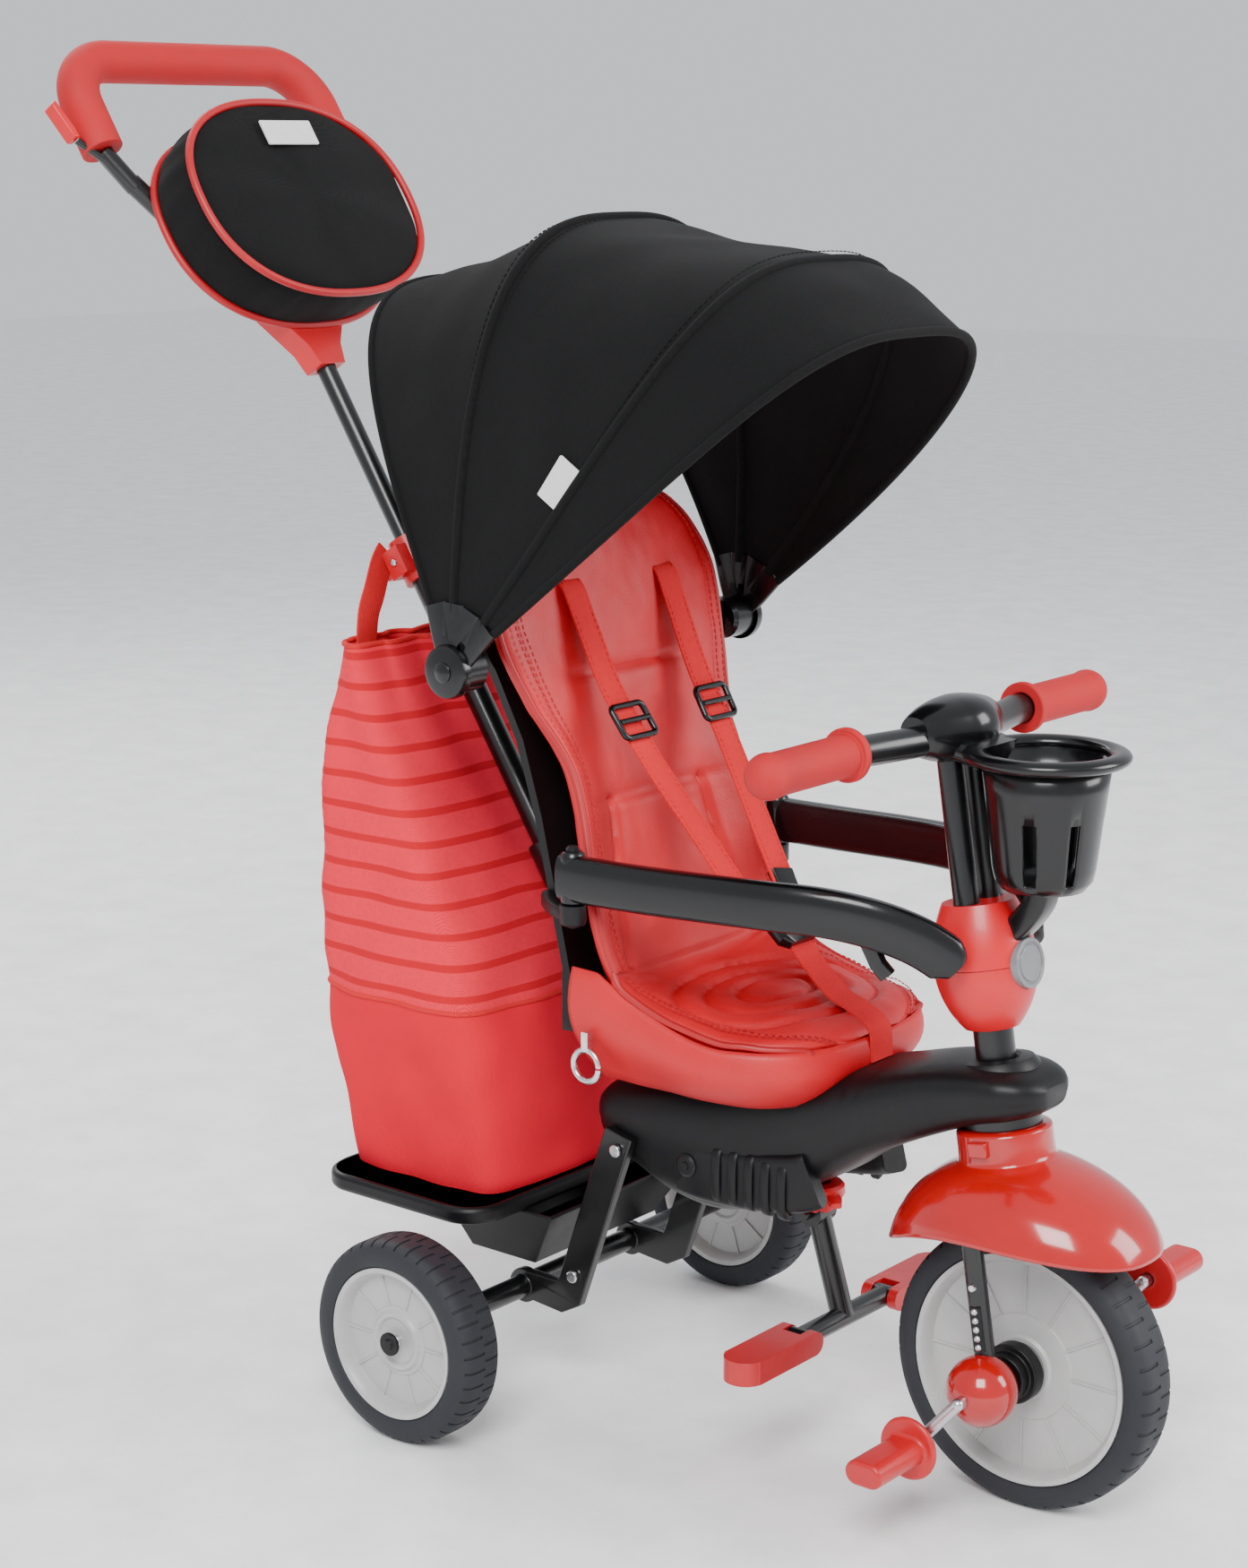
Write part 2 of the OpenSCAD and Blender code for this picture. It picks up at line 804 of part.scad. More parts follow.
module handle_yoke() {
  color([0.82, 0.18, 0.16]) placed() on_mast() difference() {
    translate([0, 0, -10]) linear_extrude(20) yoke_plan();
    translate([430, 0, 0]) rotate([0, 90, 0]) cylinder(r = slide_r + 0.1, h = 24.1);
  }
}

module handle_arms() {
  color([0.07, 0.07, 0.08]) placed() on_mast() both_sides() {
    rod([501, -43, 0], [612, -118, 0], 8);
    rod([606, -116, 0], [639, -132, 0], 7.5);
    rod([625, -126, 0], [650, -154, 0], 3);
  }
}

module handle_grip() {
  color([0.8, 0.18, 0.18]) placed() on_mast() {
    translate([724, -88, 0]) rotate([-90, 0, 0]) cylinder(r = 17, h = 176);
    both_sides() {
      translate([680, -88, 0]) rotate([0, 0, -90]) rotate_extrude(angle = 90) translate([44, 0]) circle(r = 17);
      translate([640, -132, 0]) rotate([0, 90, 0]) cylinder(r = 17, h = 40);
    }
  }
}

module parent_bag_shape(t) {
  translate([558, 0, 11 + t]) linear_extrude(52 - 2 * t) union() {
    square([176 - 2 * t, 56], center = true);
    for (s = [-1, 1]) {
      translate([0, s * 28]) circle(r = 88 - t);
    }
  }
}

module parent_bag() {
  color([0.08, 0.08, 0.1]) placed() on_mast() difference() {
    parent_bag_shape(0);
    parent_bag_shape(2);
  }
}

module handle_trigger() {
  color([0.78, 0.16, 0.16]) placed() on_mast() translate([0, 0, -6]) linear_extrude(12)
    polygon([[650, 154], [650, 160], [680, 168], [684, 163], [658, 155]]);
}

casing_upper();
casing_lower();
head_tube();
rear_axle();
rear_frame();
tray();
bucket();
shopping_bag();
bag_straps();
mast_receiver();
mast_lower_tube();
mast_clamp();
frame_bolts();
seat_shell();
seat_cushion();
seat_skirt();
harness_straps();
harness_hardware();
bar_pivots();
canopy_brackets();
canopy_rear();
snap_hook();
footrest_ring();
fork();
steering_column();
egg_lower();
egg_upper();
egg_badge();
handlebar();
handlebar_cover();
hand_grips();
cup_holder();
fender();
hub_balls();
fender_clip();
front_tyre();
front_rim();
clutch_hubs();
crank();
pedal_right();
pedal_left();
rear_tyre_right();
rear_rim_right();
hub_cap_right();
rear_tyre_left();
rear_rim_left();
hub_cap_left();
mast_upper_tube();
handle_yoke();
handle_arms();
handle_grip();
parent_bag();
handle_trigger();
safety_bar_right();
safety_bar_left();
canopy_middle();
canopy_front();
footrest_post();
foot_peg_right();
foot_peg_left();
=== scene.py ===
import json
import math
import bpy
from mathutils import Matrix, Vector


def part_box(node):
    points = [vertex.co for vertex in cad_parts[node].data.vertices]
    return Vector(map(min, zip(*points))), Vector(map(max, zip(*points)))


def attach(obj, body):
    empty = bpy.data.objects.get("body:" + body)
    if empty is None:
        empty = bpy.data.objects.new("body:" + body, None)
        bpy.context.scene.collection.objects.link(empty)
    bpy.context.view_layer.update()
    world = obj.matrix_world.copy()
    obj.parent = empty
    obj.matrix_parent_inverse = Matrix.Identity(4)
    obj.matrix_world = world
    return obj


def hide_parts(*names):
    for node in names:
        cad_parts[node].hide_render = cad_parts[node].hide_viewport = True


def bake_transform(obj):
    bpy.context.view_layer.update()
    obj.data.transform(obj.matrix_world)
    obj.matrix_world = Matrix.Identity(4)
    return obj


bl_info = {
    "name": "Push Tricycle Builder",
    "version": (1, 0, 0),
    "blender": (4, 5, 0),
    "location": "3D View > Sidebar > Tricycle",
    "description": "Builds the shells, wheels, soft goods and finishes of a children's push tricycle",
    "category": "Add Mesh",
}

import bmesh
import bpy
from mathutils import Matrix, Vector, noise

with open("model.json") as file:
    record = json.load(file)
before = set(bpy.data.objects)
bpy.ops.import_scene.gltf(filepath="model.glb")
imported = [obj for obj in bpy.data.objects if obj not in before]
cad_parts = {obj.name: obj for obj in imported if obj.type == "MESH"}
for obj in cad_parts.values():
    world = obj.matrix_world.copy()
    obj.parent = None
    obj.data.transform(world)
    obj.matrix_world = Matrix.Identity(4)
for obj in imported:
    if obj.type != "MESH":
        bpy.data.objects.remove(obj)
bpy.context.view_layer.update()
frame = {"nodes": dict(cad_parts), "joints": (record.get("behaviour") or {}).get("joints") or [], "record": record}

X, Y, Z = Vector((1, 0, 0)), Vector((0, 1, 0)), Vector((0, 0, 1))
SIDES = (("right", -1), ("left", 1))
TURN = 2 * math.pi


def middle(node):
    low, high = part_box(node)
    return (low + high) / 2


def joint(name):
    return next(j for j in frame["joints"] if j["name"] == name)


AXLE = middle("rear_axle")
FRONT = Vector(joint("front_wheel_spin")["pos_m"])
STEER_UP = Vector(joint("steering_turn")["axis"])
MAST_UP = Vector(joint("handle_height")["axis"])
MAST_OUT = Y.cross(MAST_UP).normalized()
HINGE = Vector(joint("canopy_middle_fold")["pos_m"])


def mm(x, y, z):
    """A point given in millimetres ahead of the rear axle, to the left, and above the ground."""
    return Vector((AXLE.x + x / 1000, y / 1000, z / 1000))


def on_side(sign, *points):
    """Points given as for mm() on the left side, or mirrored to the right where sign is -1."""
    return [mm(x, y * sign, z) for x, y, z in points]


def mast(s, y, n=0.0):
    """A point on the parent handle: s mm up the mast from its collar, y across, n out of its front."""
    return mm(-31, 0, 417) + (MAST_UP * s + Y * y + MAST_OUT * n) / 1000


def steer(u, y, w):
    """A point turning with the fork: u mm ahead of the steering axis, w up it from the wheel's middle."""
    return FRONT + (Y.cross(STEER_UP) * u + Y * y + STEER_UP * w) / 1000


# ---------------------------------------------------------------- shader groups


def new_group(name, inputs, outputs):
    group = bpy.data.node_groups.new(name, "ShaderNodeTree")
    for label, kind, value in inputs:
        socket = group.interface.new_socket(label, in_out="INPUT", socket_type=kind)
        if value is not None:
            socket.default_value = value
    for label, kind in outputs:
        group.interface.new_socket(label, in_out="OUTPUT", socket_type=kind)
    return group, group.nodes.new("NodeGroupInput"), group.nodes.new("NodeGroupOutput")


def maths(tree, operation, *values):
    node = tree.nodes.new("ShaderNodeMath")
    node.operation = operation
    for i, value in enumerate(values):
        if isinstance(value, (int, float)):
            node.inputs[i].default_value = value
        else:
            tree.links.new(value, node.inputs[i])
    return node.outputs[0]


def noise_node(tree, vector, scale, detail=3.0, rough=0.55):
    node = tree.nodes.new("ShaderNodeTexNoise")
    node.inputs["Detail"].default_value = detail
    node.inputs["Roughness"].default_value = rough
    tree.links.new(vector, node.inputs["Vector"])
    if isinstance(scale, (int, float)):
        node.inputs["Scale"].default_value = scale
    else:
        tree.links.new(scale, node.inputs["Scale"])
    return node.outputs[0]


def remap(tree, value, low, high, to_low, to_high):
    node = tree.nodes.new("ShaderNodeMapRange")
    tree.links.new(value, node.inputs["Value"])
    node.inputs["From Min"].default_value = low
    node.inputs["From Max"].default_value = high
    for label, limit in (("To Min", to_low), ("To Max", to_high)):
        if isinstance(limit, (int, float)):
            node.inputs[label].default_value = limit
        else:
            tree.links.new(limit, node.inputs[label])
    return node.outputs["Result"]


def grain_group():
    """Fine moulded or painted grain: a height, and a slow unevenness for colour and gloss."""
    tree, start, end = new_group(
        "Surface grain",
        [("Vector", "NodeSocketVector", None), ("Scale", "NodeSocketFloat", 900.0)],
        [("Height", "NodeSocketFloat"), ("Unevenness", "NodeSocketFloat")],
    )
    vector = start.outputs["Vector"]
    fine = noise_node(tree, vector, start.outputs["Scale"], 4.0)
    slow = noise_node(tree, vector, 14.0, 4.0, 0.6)
    tree.links.new(fine, end.inputs["Height"])
    tree.links.new(remap(tree, slow, 0.3, 0.7, 0.0, 1.0), end.inputs["Unevenness"])
    return tree


def wear_group():
    """A mask of the rubbed outer edges, broken up by noise."""
    tree, start, end = new_group(
        "Edge wear",
        [("Vector", "NodeSocketVector", None), ("Amount", "NodeSocketFloat", 0.5)],
        [("Mask", "NodeSocketFloat")],
    )
    geometry = tree.nodes.new("ShaderNodeNewGeometry")
    edge = remap(tree, geometry.outputs["Pointiness"], 0.52, 0.62, 0.0, 1.0)
    broken = remap(tree, noise_node(tree, start.outputs["Vector"], 120.0), 0.4, 0.65, 0.0, 1.0)
    mask = maths(tree, "MULTIPLY", edge, broken)
    tree.links.new(maths(tree, "MULTIPLY", mask, start.outputs["Amount"]), end.inputs["Mask"])
    return tree


def weave_group():
    """Crossed threads: a height, and the shade between the threads."""
    tree, start, end = new_group(
        "Woven threads",
        [("Vector", "NodeSocketVector", None), ("Threads", "NodeSocketFloat", 900.0)],
        [("Height", "NodeSocketFloat"), ("Shade", "NodeSocketFloat")],
    )
    split = tree.nodes.new("ShaderNodeSeparateXYZ")
    tree.links.new(start.outputs["Vector"], split.inputs[0])
    x, y, z = split.outputs
    turns = maths(tree, "MULTIPLY", start.outputs["Threads"], TURN)
    warp = maths(tree, "SINE", maths(tree, "MULTIPLY", maths(tree, "ADD", x, z), turns))
    weft = maths(tree, "SINE", maths(tree, "MULTIPLY", maths(tree, "ADD", y, z), turns))
    crossed = maths(tree, "MULTIPLY_ADD", maths(tree, "MULTIPLY", warp, weft), 0.5, 0.5)
    uneven = noise_node(tree, start.outputs["Vector"], 260.0)
    height = maths(tree, "MULTIPLY_ADD", uneven, 0.5, crossed)
    tree.links.new(height, end.inputs["Height"])
    tree.links.new(remap(tree, height, 0.2, 1.2, 0.0, 1.0), end.inputs["Shade"])
    return tree


GROUPS = {"grain": grain_group(), "wear": wear_group(), "weave": weave_group()}


def place_group(tree, kind, vector, **values):
    node = tree.nodes.new("ShaderNodeGroup")
    node.node_tree = GROUPS[kind]
    tree.links.new(vector, node.inputs["Vector"])
    for label, value in values.items():
        node.inputs[label].default_value = value
    return node


def mixed(tree, mask, low, high):
    """low where the mask is 0 and high where it is 1; each is a colour or a socket."""
    node = tree.nodes.new("ShaderNodeMix")
    node.data_type = "RGBA"
    tree.links.new(mask, node.inputs["Factor"])
    for label, colour in (("A", low), ("B", high)):
        socket = next(s for s in node.inputs if s.name == label and s.type == "RGBA")
        if isinstance(colour, tuple):
            socket.default_value = (*colour, 1)
        else:
            tree.links.new(colour, socket)
    return next(s for s in node.outputs if s.type == "RGBA")


def shade(colour, factor):
    return tuple(min(1.0, c * factor) for c in colour)


def shell_of(name, **fixed):
    """A new material with a Principled shader whose constants sit on its own sockets."""
    material = bpy.data.materials.new(name)
    material.use_nodes = True
    tree = material.node_tree
    shader = tree.nodes["Principled BSDF"]
    for label, value in fixed.items():
        shader.inputs[label.replace("_", " ")].default_value = value
    where = tree.nodes.new("ShaderNodeTexCoord").outputs["Object"]
    return material, tree, shader, where


def bump(tree, shader, height, distance):
    node = tree.nodes.new("ShaderNodeBump")
    node.inputs["Distance"].default_value = distance
    node.inputs["Strength"].default_value = 1.0
    tree.links.new(height, node.inputs["Height"])
    tree.links.new(node.outputs["Normal"], shader.inputs["Normal"])


def plastic(name, colour, rough, grain=900.0, depth=0.00005, coat=0.0, wear=0.35, **fixed):
    material, tree, shader, where = shell_of(
        name, Coat_Weight=coat, Coat_Roughness=0.06, IOR=1.5, **fixed
    )
    surface = place_group(tree, "grain", where, Scale=grain)
    worn = place_group(tree, "wear", where, Amount=wear)
    uneven = surface.outputs["Unevenness"]
    base = mixed(tree, uneven, shade(colour, 0.9), shade(colour, 1.1))
    pale = tuple(min(1.0, c * 1.35 + 0.02) for c in colour)
    tree.links.new(mixed(tree, worn.outputs["Mask"], base, pale), shader.inputs["Base Color"])
    gloss = remap(tree, uneven, 0.0, 1.0, rough * 0.88, min(1.0, rough * 1.15))
    tree.links.new(gloss, shader.inputs["Roughness"])
    bump(tree, shader, surface.outputs["Height"], depth)
    return material


def metal(name, colour, rough, along=(1, 1, 1)):
    material, tree, shader, where = shell_of(name, Metallic=1.0)
    mapping = tree.nodes.new("ShaderNodeMapping")
    mapping.inputs["Scale"].default_value = along
    tree.links.new(where, mapping.inputs["Vector"])
    streaks = noise_node(tree, mapping.outputs[0], 300.0, 5.0)
    worn = place_group(tree, "wear", where, Amount=0.5)
    base = mixed(tree, streaks, shade(colour, 0.8), shade(colour, 1.15))
    tree.links.new(mixed(tree, worn.outputs["Mask"], base, shade(colour, 1.3)), shader.inputs["Base Color"])
    tree.links.new(remap(tree, streaks, 0.3, 0.7, rough * 0.8, rough * 1.3), shader.inputs["Roughness"])
    bump(tree, shader, streaks, 0.00004)
    return material


def cloth(name, colour, threads=700.0, rough=0.85, sheen=0.25, depth=0.00025, tint=None, folds=0.0):
    material, tree, shader, where = shell_of(
        name, Sheen_Weight=sheen, Sheen_Roughness=0.5, Sheen_Tint=(*(tint or colour), 1), IOR=1.4,
        Specular_IOR_Level=0.3,
    )
    surface = place_group(tree, "weave", where, Threads=threads)
    faded = place_group(tree, "grain", where, Scale=90.0)
    base = mixed(tree, surface.outputs["Shade"], shade(colour, 0.72), shade(colour, 1.12))
    tree.links.new(
        mixed(tree, faded.outputs["Unevenness"], base, shade(colour, 1.1)), shader.inputs["Base Color"]
    )
    faded_mix = shader.inputs["Base Color"].links[0].from_node
    weak = maths(tree, "MULTIPLY", faded.outputs["Unevenness"], 0.3)
    tree.links.new(weak, faded_mix.inputs["Factor"])
    gloss = remap(tree, surface.outputs["Shade"], 0.0, 1.0, min(1.0, rough * 1.1), rough * 0.92)
    tree.links.new(gloss, shader.inputs["Roughness"])
    height = surface.outputs["Height"]
    if folds:
        wrinkle = noise_node(tree, where, 28.0, 3.0)
        height = maths(tree, "MULTIPLY_ADD", wrinkle, folds, height)
    bump(tree, shader, height, depth)
    return material


def striped_cloth(name, pale, dark, panel, seam_z, stripe_gap):
    """Bag cloth: a plain lower panel, and dark stripes above the seam."""
    material = cloth(name, pale, threads=900.0, sheen=0.15, depth=0.0002, folds=1.5)
    tree = material.node_tree
    shader = tree.nodes["Principled BSDF"]
    plain = shader.inputs["Base Color"].links[0].from_socket
    where = next(n for n in tree.nodes if n.type == "TEX_COORD").outputs["Object"]
    split = tree.nodes.new("ShaderNodeSeparateXYZ")
    tree.links.new(where, split.inputs[0])
    height = maths(tree, "SUBTRACT", split.outputs[2], seam_z)
    wave = maths(tree, "FRACT", maths(tree, "DIVIDE", height, stripe_gap))
    stripe = remap(tree, maths(tree, "ABSOLUTE", maths(tree, "SUBTRACT", wave, 0.5)), 0.13, 0.11, 0.0, 1.0)
    upper = mixed(tree, stripe, plain, dark)
    below = remap(tree, height, 0.0006, -0.0006, 0.0, 1.0)
    tree.links.new(mixed(tree, below, upper, panel), shader.inputs["Base Color"])
    return material


# ---------------------------------------------------------------- mesh helpers


def smooth_path(points, steps=8, closed=False):
    """A Catmull-Rom curve through the points."""
    count = len(points)
    spans = count if closed else count - 1
    result = []
    for i in range(spans):
        if closed:
            a, b, c, d = (points[(i + k) % count] for k in (-1, 0, 1, 2))
        else:
            a, b, c, d = (points[min(max(i + k, 0), count - 1)] for k in (-1, 0, 1, 2))
        for k in range(steps):
            t = k / steps
            square, cube = 2 * a - 5 * b + 4 * c - d, 3 * b - a - 3 * c + d
            result.append(0.5 * (2 * b + (c - a) * t + square * t * t + cube * t**3))
    if not closed:
        result.append(points[-1].copy())
    return result


def ellipse(a, b, count=24, power=2.0):
    """A closed outline of half sizes a and b; power above 2 squares its corners."""
    outline = []
    for i in range(count):
        c, s = math.cos(TURN * i / count), math.sin(TURN * i / count)
        outline.append(
            (a * math.copysign(abs(c) ** (2 / power), c), b * math.copysign(abs(s) ** (2 / power), s))
        )
    return outline


def round_box(a, b, r, steps=4):
    """A closed rectangular outline of half sizes a and b with corner radius r."""
    outline = []
    for quarter, (sa, sb) in enumerate(((1, 1), (-1, 1), (-1, -1), (1, -1))):
        for k in range(steps + 1):
            angle = math.pi / 2 * (quarter + k / steps)
            outline.append((sa * (a - r) + r * math.cos(angle), sb * (b - r) + r * math.sin(angle)))
    return outline


def frames_on(path, up, closed):
    """One matrix per path point: its X runs along up, its Z along the path."""
    count, result = len(path), []
    for i, point in enumerate(path):
        ahead = path[(i + 1) % count] if closed or i + 1 < count else point
        behind = path[i - 1] if closed or i else point
        along = (ahead - behind).normalized()
        across = along.cross(up).normalized()
        upward = across.cross(along)
        rotation = Matrix((upward, across, along)).transposed().to_4x4()
        result.append(Matrix.Translation(point) @ rotation)
    return result


def sweep(bm, path, outline, up=Z, scales=None, closed=False):
    """Extrudes an outline along a path. scales gives each point one factor or a pair."""
    frames = frames_on(path, up, closed)
    if scales:
        for i, value in enumerate(scales):
            a, b = value if isinstance(value, tuple) else (value, value)
            frames[i] = frames[i] @ Matrix.Diagonal((max(a, 1e-4), max(b, 1e-4), 1, 1))
    ring = [bm.verts.new(frames[0] @ Vector((a, b, 0))) for a, b in outline]
    edges = [bm.edges.new(pair) for pair in zip(ring, ring[1:] + ring[:1])]
    first, made = list(edges), list(ring)
    turns = frames[1:] + ([frames[0]] if closed else [])
    last = frames[0]
    for matrix in turns:
        out = bmesh.ops.extrude_edge_only(bm, edges=edges)["geom"]
        verts = [g for g in out if isinstance(g, bmesh.types.BMVert)]
        bmesh.ops.transform(bm, matrix=matrix @ last.inverted(), verts=verts)
        kept = set(verts)
        edges = [g for g in out if isinstance(g, bmesh.types.BMEdge) and set(g.verts) <= kept]
        made += verts
        last = matrix
    if closed:
        bmesh.ops.remove_doubles(bm, verts=made, dist=1e-6)
    else:
        for loop in (first, edges):
            bmesh.ops.edgeloop_fill(bm, edges=loop)


def rod(bm, path, radius, count, up, closed=False):
    sweep(bm, path, ellipse(radius, radius, count), up, closed=closed)


def lathe(bm, profile, centre, axis, steps=72):
    """Spins (radius, height) points round an axis; radii of zero close the pole."""
    side = axis.orthogonal().normalized()
    verts = [bm.verts.new(centre + side * (r / 1000) + axis * (h / 1000)) for r, h in profile]
    edges = [bm.edges.new(pair) for pair in zip(verts, verts[1:])]
    bmesh.ops.spin(
        bm, geom=verts + edges, cent=centre, axis=axis, angle=TURN, steps=steps, use_merge=True,
        use_duplicate=False,
    )
    bmesh.ops.remove_doubles(bm, verts=bm.verts, dist=2e-6)


def slab(bm, outline, thickness, matrix):
    """A plate of a closed outline."""
    verts = [bm.verts.new(matrix @ Vector((a, b, 0))) for a, b in outline]
    face = bm.faces.new(verts)
    out = bmesh.ops.extrude_face_region(bm, geom=[face])["geom"]
    top = [g for g in out if isinstance(g, bmesh.types.BMVert)]
    shift = matrix.to_3x3() @ Vector((0, 0, thickness))
    bmesh.ops.translate(bm, vec=shift, verts=top)


def ball(bm, centre, radius, count):
    bmesh.ops.create_uvsphere(
        bm, u_segments=count, v_segments=count // 2, radius=radius, matrix=Matrix.Translation(centre)
    )


def piece(name, bm, material, body, hides=(), sharp=40.0, turn_out=True):
    """Makes the object of a finished bmesh, riding on its body."""
    if turn_out:
        bmesh.ops.recalc_face_normals(bm, faces=bm.faces)
    mesh = bpy.data.meshes.new(name)
    bm.to_mesh(mesh)
    bm.free()
    mesh.materials.append(material)
    mesh.polygons.foreach_set("use_smooth", [True] * len(mesh.polygons))
    mesh.set_sharp_from_angle(angle=math.radians(sharp))
    obj = bpy.data.objects.new(name, mesh)
    bpy.context.scene.collection.objects.link(obj)
    if body:
        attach(obj, body)
    if hides:
        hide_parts(*hides)
    return obj


def modify(obj, kind, **values):
    modifier = obj.modifiers.new(kind.title(), kind)
    for label, value in values.items():
        setattr(modifier, label, value)


def subdivided(obj):
    modify(obj, "SUBSURF", levels=1, render_levels=1)
    return obj


def rounded(node, material, width):
    """A CAD node's own shape, merged clean and given rounded edges."""
    bm = bmesh.new()
    bm.from_mesh(frame["nodes"][node].data)
    bmesh.ops.remove_doubles(bm, verts=bm.verts, dist=1e-5)
    bmesh.ops.dissolve_limit(
        bm, angle_limit=math.radians(1.5), verts=bm.verts, edges=bm.edges, delimit={"NORMAL"}
    )
    body, slot = BODY_OF[node], SLOT_OF[node]
    obj = piece(f"{node}_finished", bm, material, body, hides=[node], sharp=35.0, turn_out=False)
    modify(
        obj, "BEVEL", width=width, segments=3, limit_method="ANGLE", angle_limit=math.radians(35),
        harden_normals=False,
    )


def skin(bm, rows, closed=False, capped=False):
    """A sheet through rows of points; closed joins each row's end to its start, capped fills the end rows."""
    if closed:
        rows = [row + row[:1] for row in rows]
    out = bmesh.ops.create_grid(bm, x_segments=len(rows[0]) - 1, y_segments=len(rows) - 1, size=1)
    verts = out["verts"]
    for vert, point in zip(verts, (point for row in rows for point in row)):
        vert.co = point
    if closed:
        bmesh.ops.remove_doubles(bm, verts=verts, dist=1e-6)
    if capped:
        rims = [e for e in bm.edges if e.is_boundary]
        bmesh.ops.holes_fill(bm, edges=rims, sides=0)


def evenly(points, count):
    """The same line through count evenly spaced points."""
    lengths = [0.0]
    for a, b in zip(points, points[1:]):
        lengths.append(lengths[-1] + (b - a).length)
    result, k = [], 0
    for i in range(count):
        want = lengths[-1] * i / (count - 1)
        while k < len(points) - 2 and lengths[k + 1] < want:
            k += 1
        span = lengths[k + 1] - lengths[k]
        result.append(points[k].lerp(points[k + 1], (want - lengths[k]) / span if span else 0.0))
    return result


def rumple(point, scale, height):
    """A soft unevenness of a cloth surface at a point."""
    return noise.noise(point * scale) * height


def groove(distance, width, depth):
    return -depth * math.exp(-((distance / width) ** 2))


def stitches(bm, path, up, length=0.0032, gap=0.0052, width=0.0009):
    """A row of raised thread stitches along a path."""
    total = sum((b - a).length for a, b in zip(path, path[1:]))
    spots = evenly(path, max(3, int(total / gap)))
    size = Matrix.Diagonal((width, width, length, 1))
    for matrix in frames_on(spots, up, False):
        bmesh.ops.create_cube(bm, size=1.0, matrix=matrix @ size)


def linear(red, green, blue):
    """A screen colour, 0 to 255, as the linear one a shader wants."""
    return tuple(((c / 255 + 0.055) / 1.055) ** 2.4 for c in (red, green, blue))


# ---------------------------------------------------------------- settings


def colour(label, about, default):
    return bpy.props.FloatVectorProperty(
        name=label, description=about, default=linear(*default), size=3, min=0, max=1, subtype="COLOR"
    )


def length(label, about, default):
    return bpy.props.FloatProperty(
        name=label, description=about, default=default, min=0, soft_max=1, unit="LENGTH", subtype="DISTANCE"
    )


class TricycleColours(bpy.types.PropertyGroup):
    fabric: colour("Seat fabric", "Colour of the padded seat liner", (198, 7, 24))
    webbing: colour("Webbing", "Colour of the harness and bag straps", (214, 36, 42))
    bag: colour("Bag", "Pale colour of the shopping bag", (243, 40, 64))
    stripe: colour("Bag stripes", "Colour of the shopping bag's stripes", (204, 14, 34))
    panel: colour("Bag panel", "Colour of the shopping bag's lower panel", (224, 12, 44))
    gloss: colour("Glossy red", "Colour of the mudguard and hub balls", (174, 6, 9))
    matte: colour("Satin red", "Colour of the steering housings and clamps", (203, 11, 25))
    foam: colour("Foam red", "Colour of the foam grips", (178, 8, 20))
    pedal: colour("Pedal red", "Colour of the pedals and foot pegs", (184, 13, 23))
    black: colour("Black plastic", "Colour of the black mouldings", (11, 11, 13))
    canopy: colour("Canopy", "Colour of the canopy and the parent bag", (12, 12, 13))
    tyre: colour("Tyre", "Colour of the foam tyres", (27, 29, 35))
    rim: colour("Rim", "Colour of the wheel discs", (174, 174, 172))


class TricycleSizes(bpy.types.PropertyGroup):
    piping: length("Piping", "Radius of the piping round the seat", 0.0028)
    sag: length("Canopy sag", "How far the canopy cloth dips between its bows", 0.017)
    crown: length("Seat crown", "How far the seat padding swells in its middle", 0.01)
    quilting: length("Quilting", "Depth of the seat's quilted channels", 0.0055)
    cloth: length("Cloth", "Thickness of the canopy and bag cloth", 0.0012)


FINISH = {}


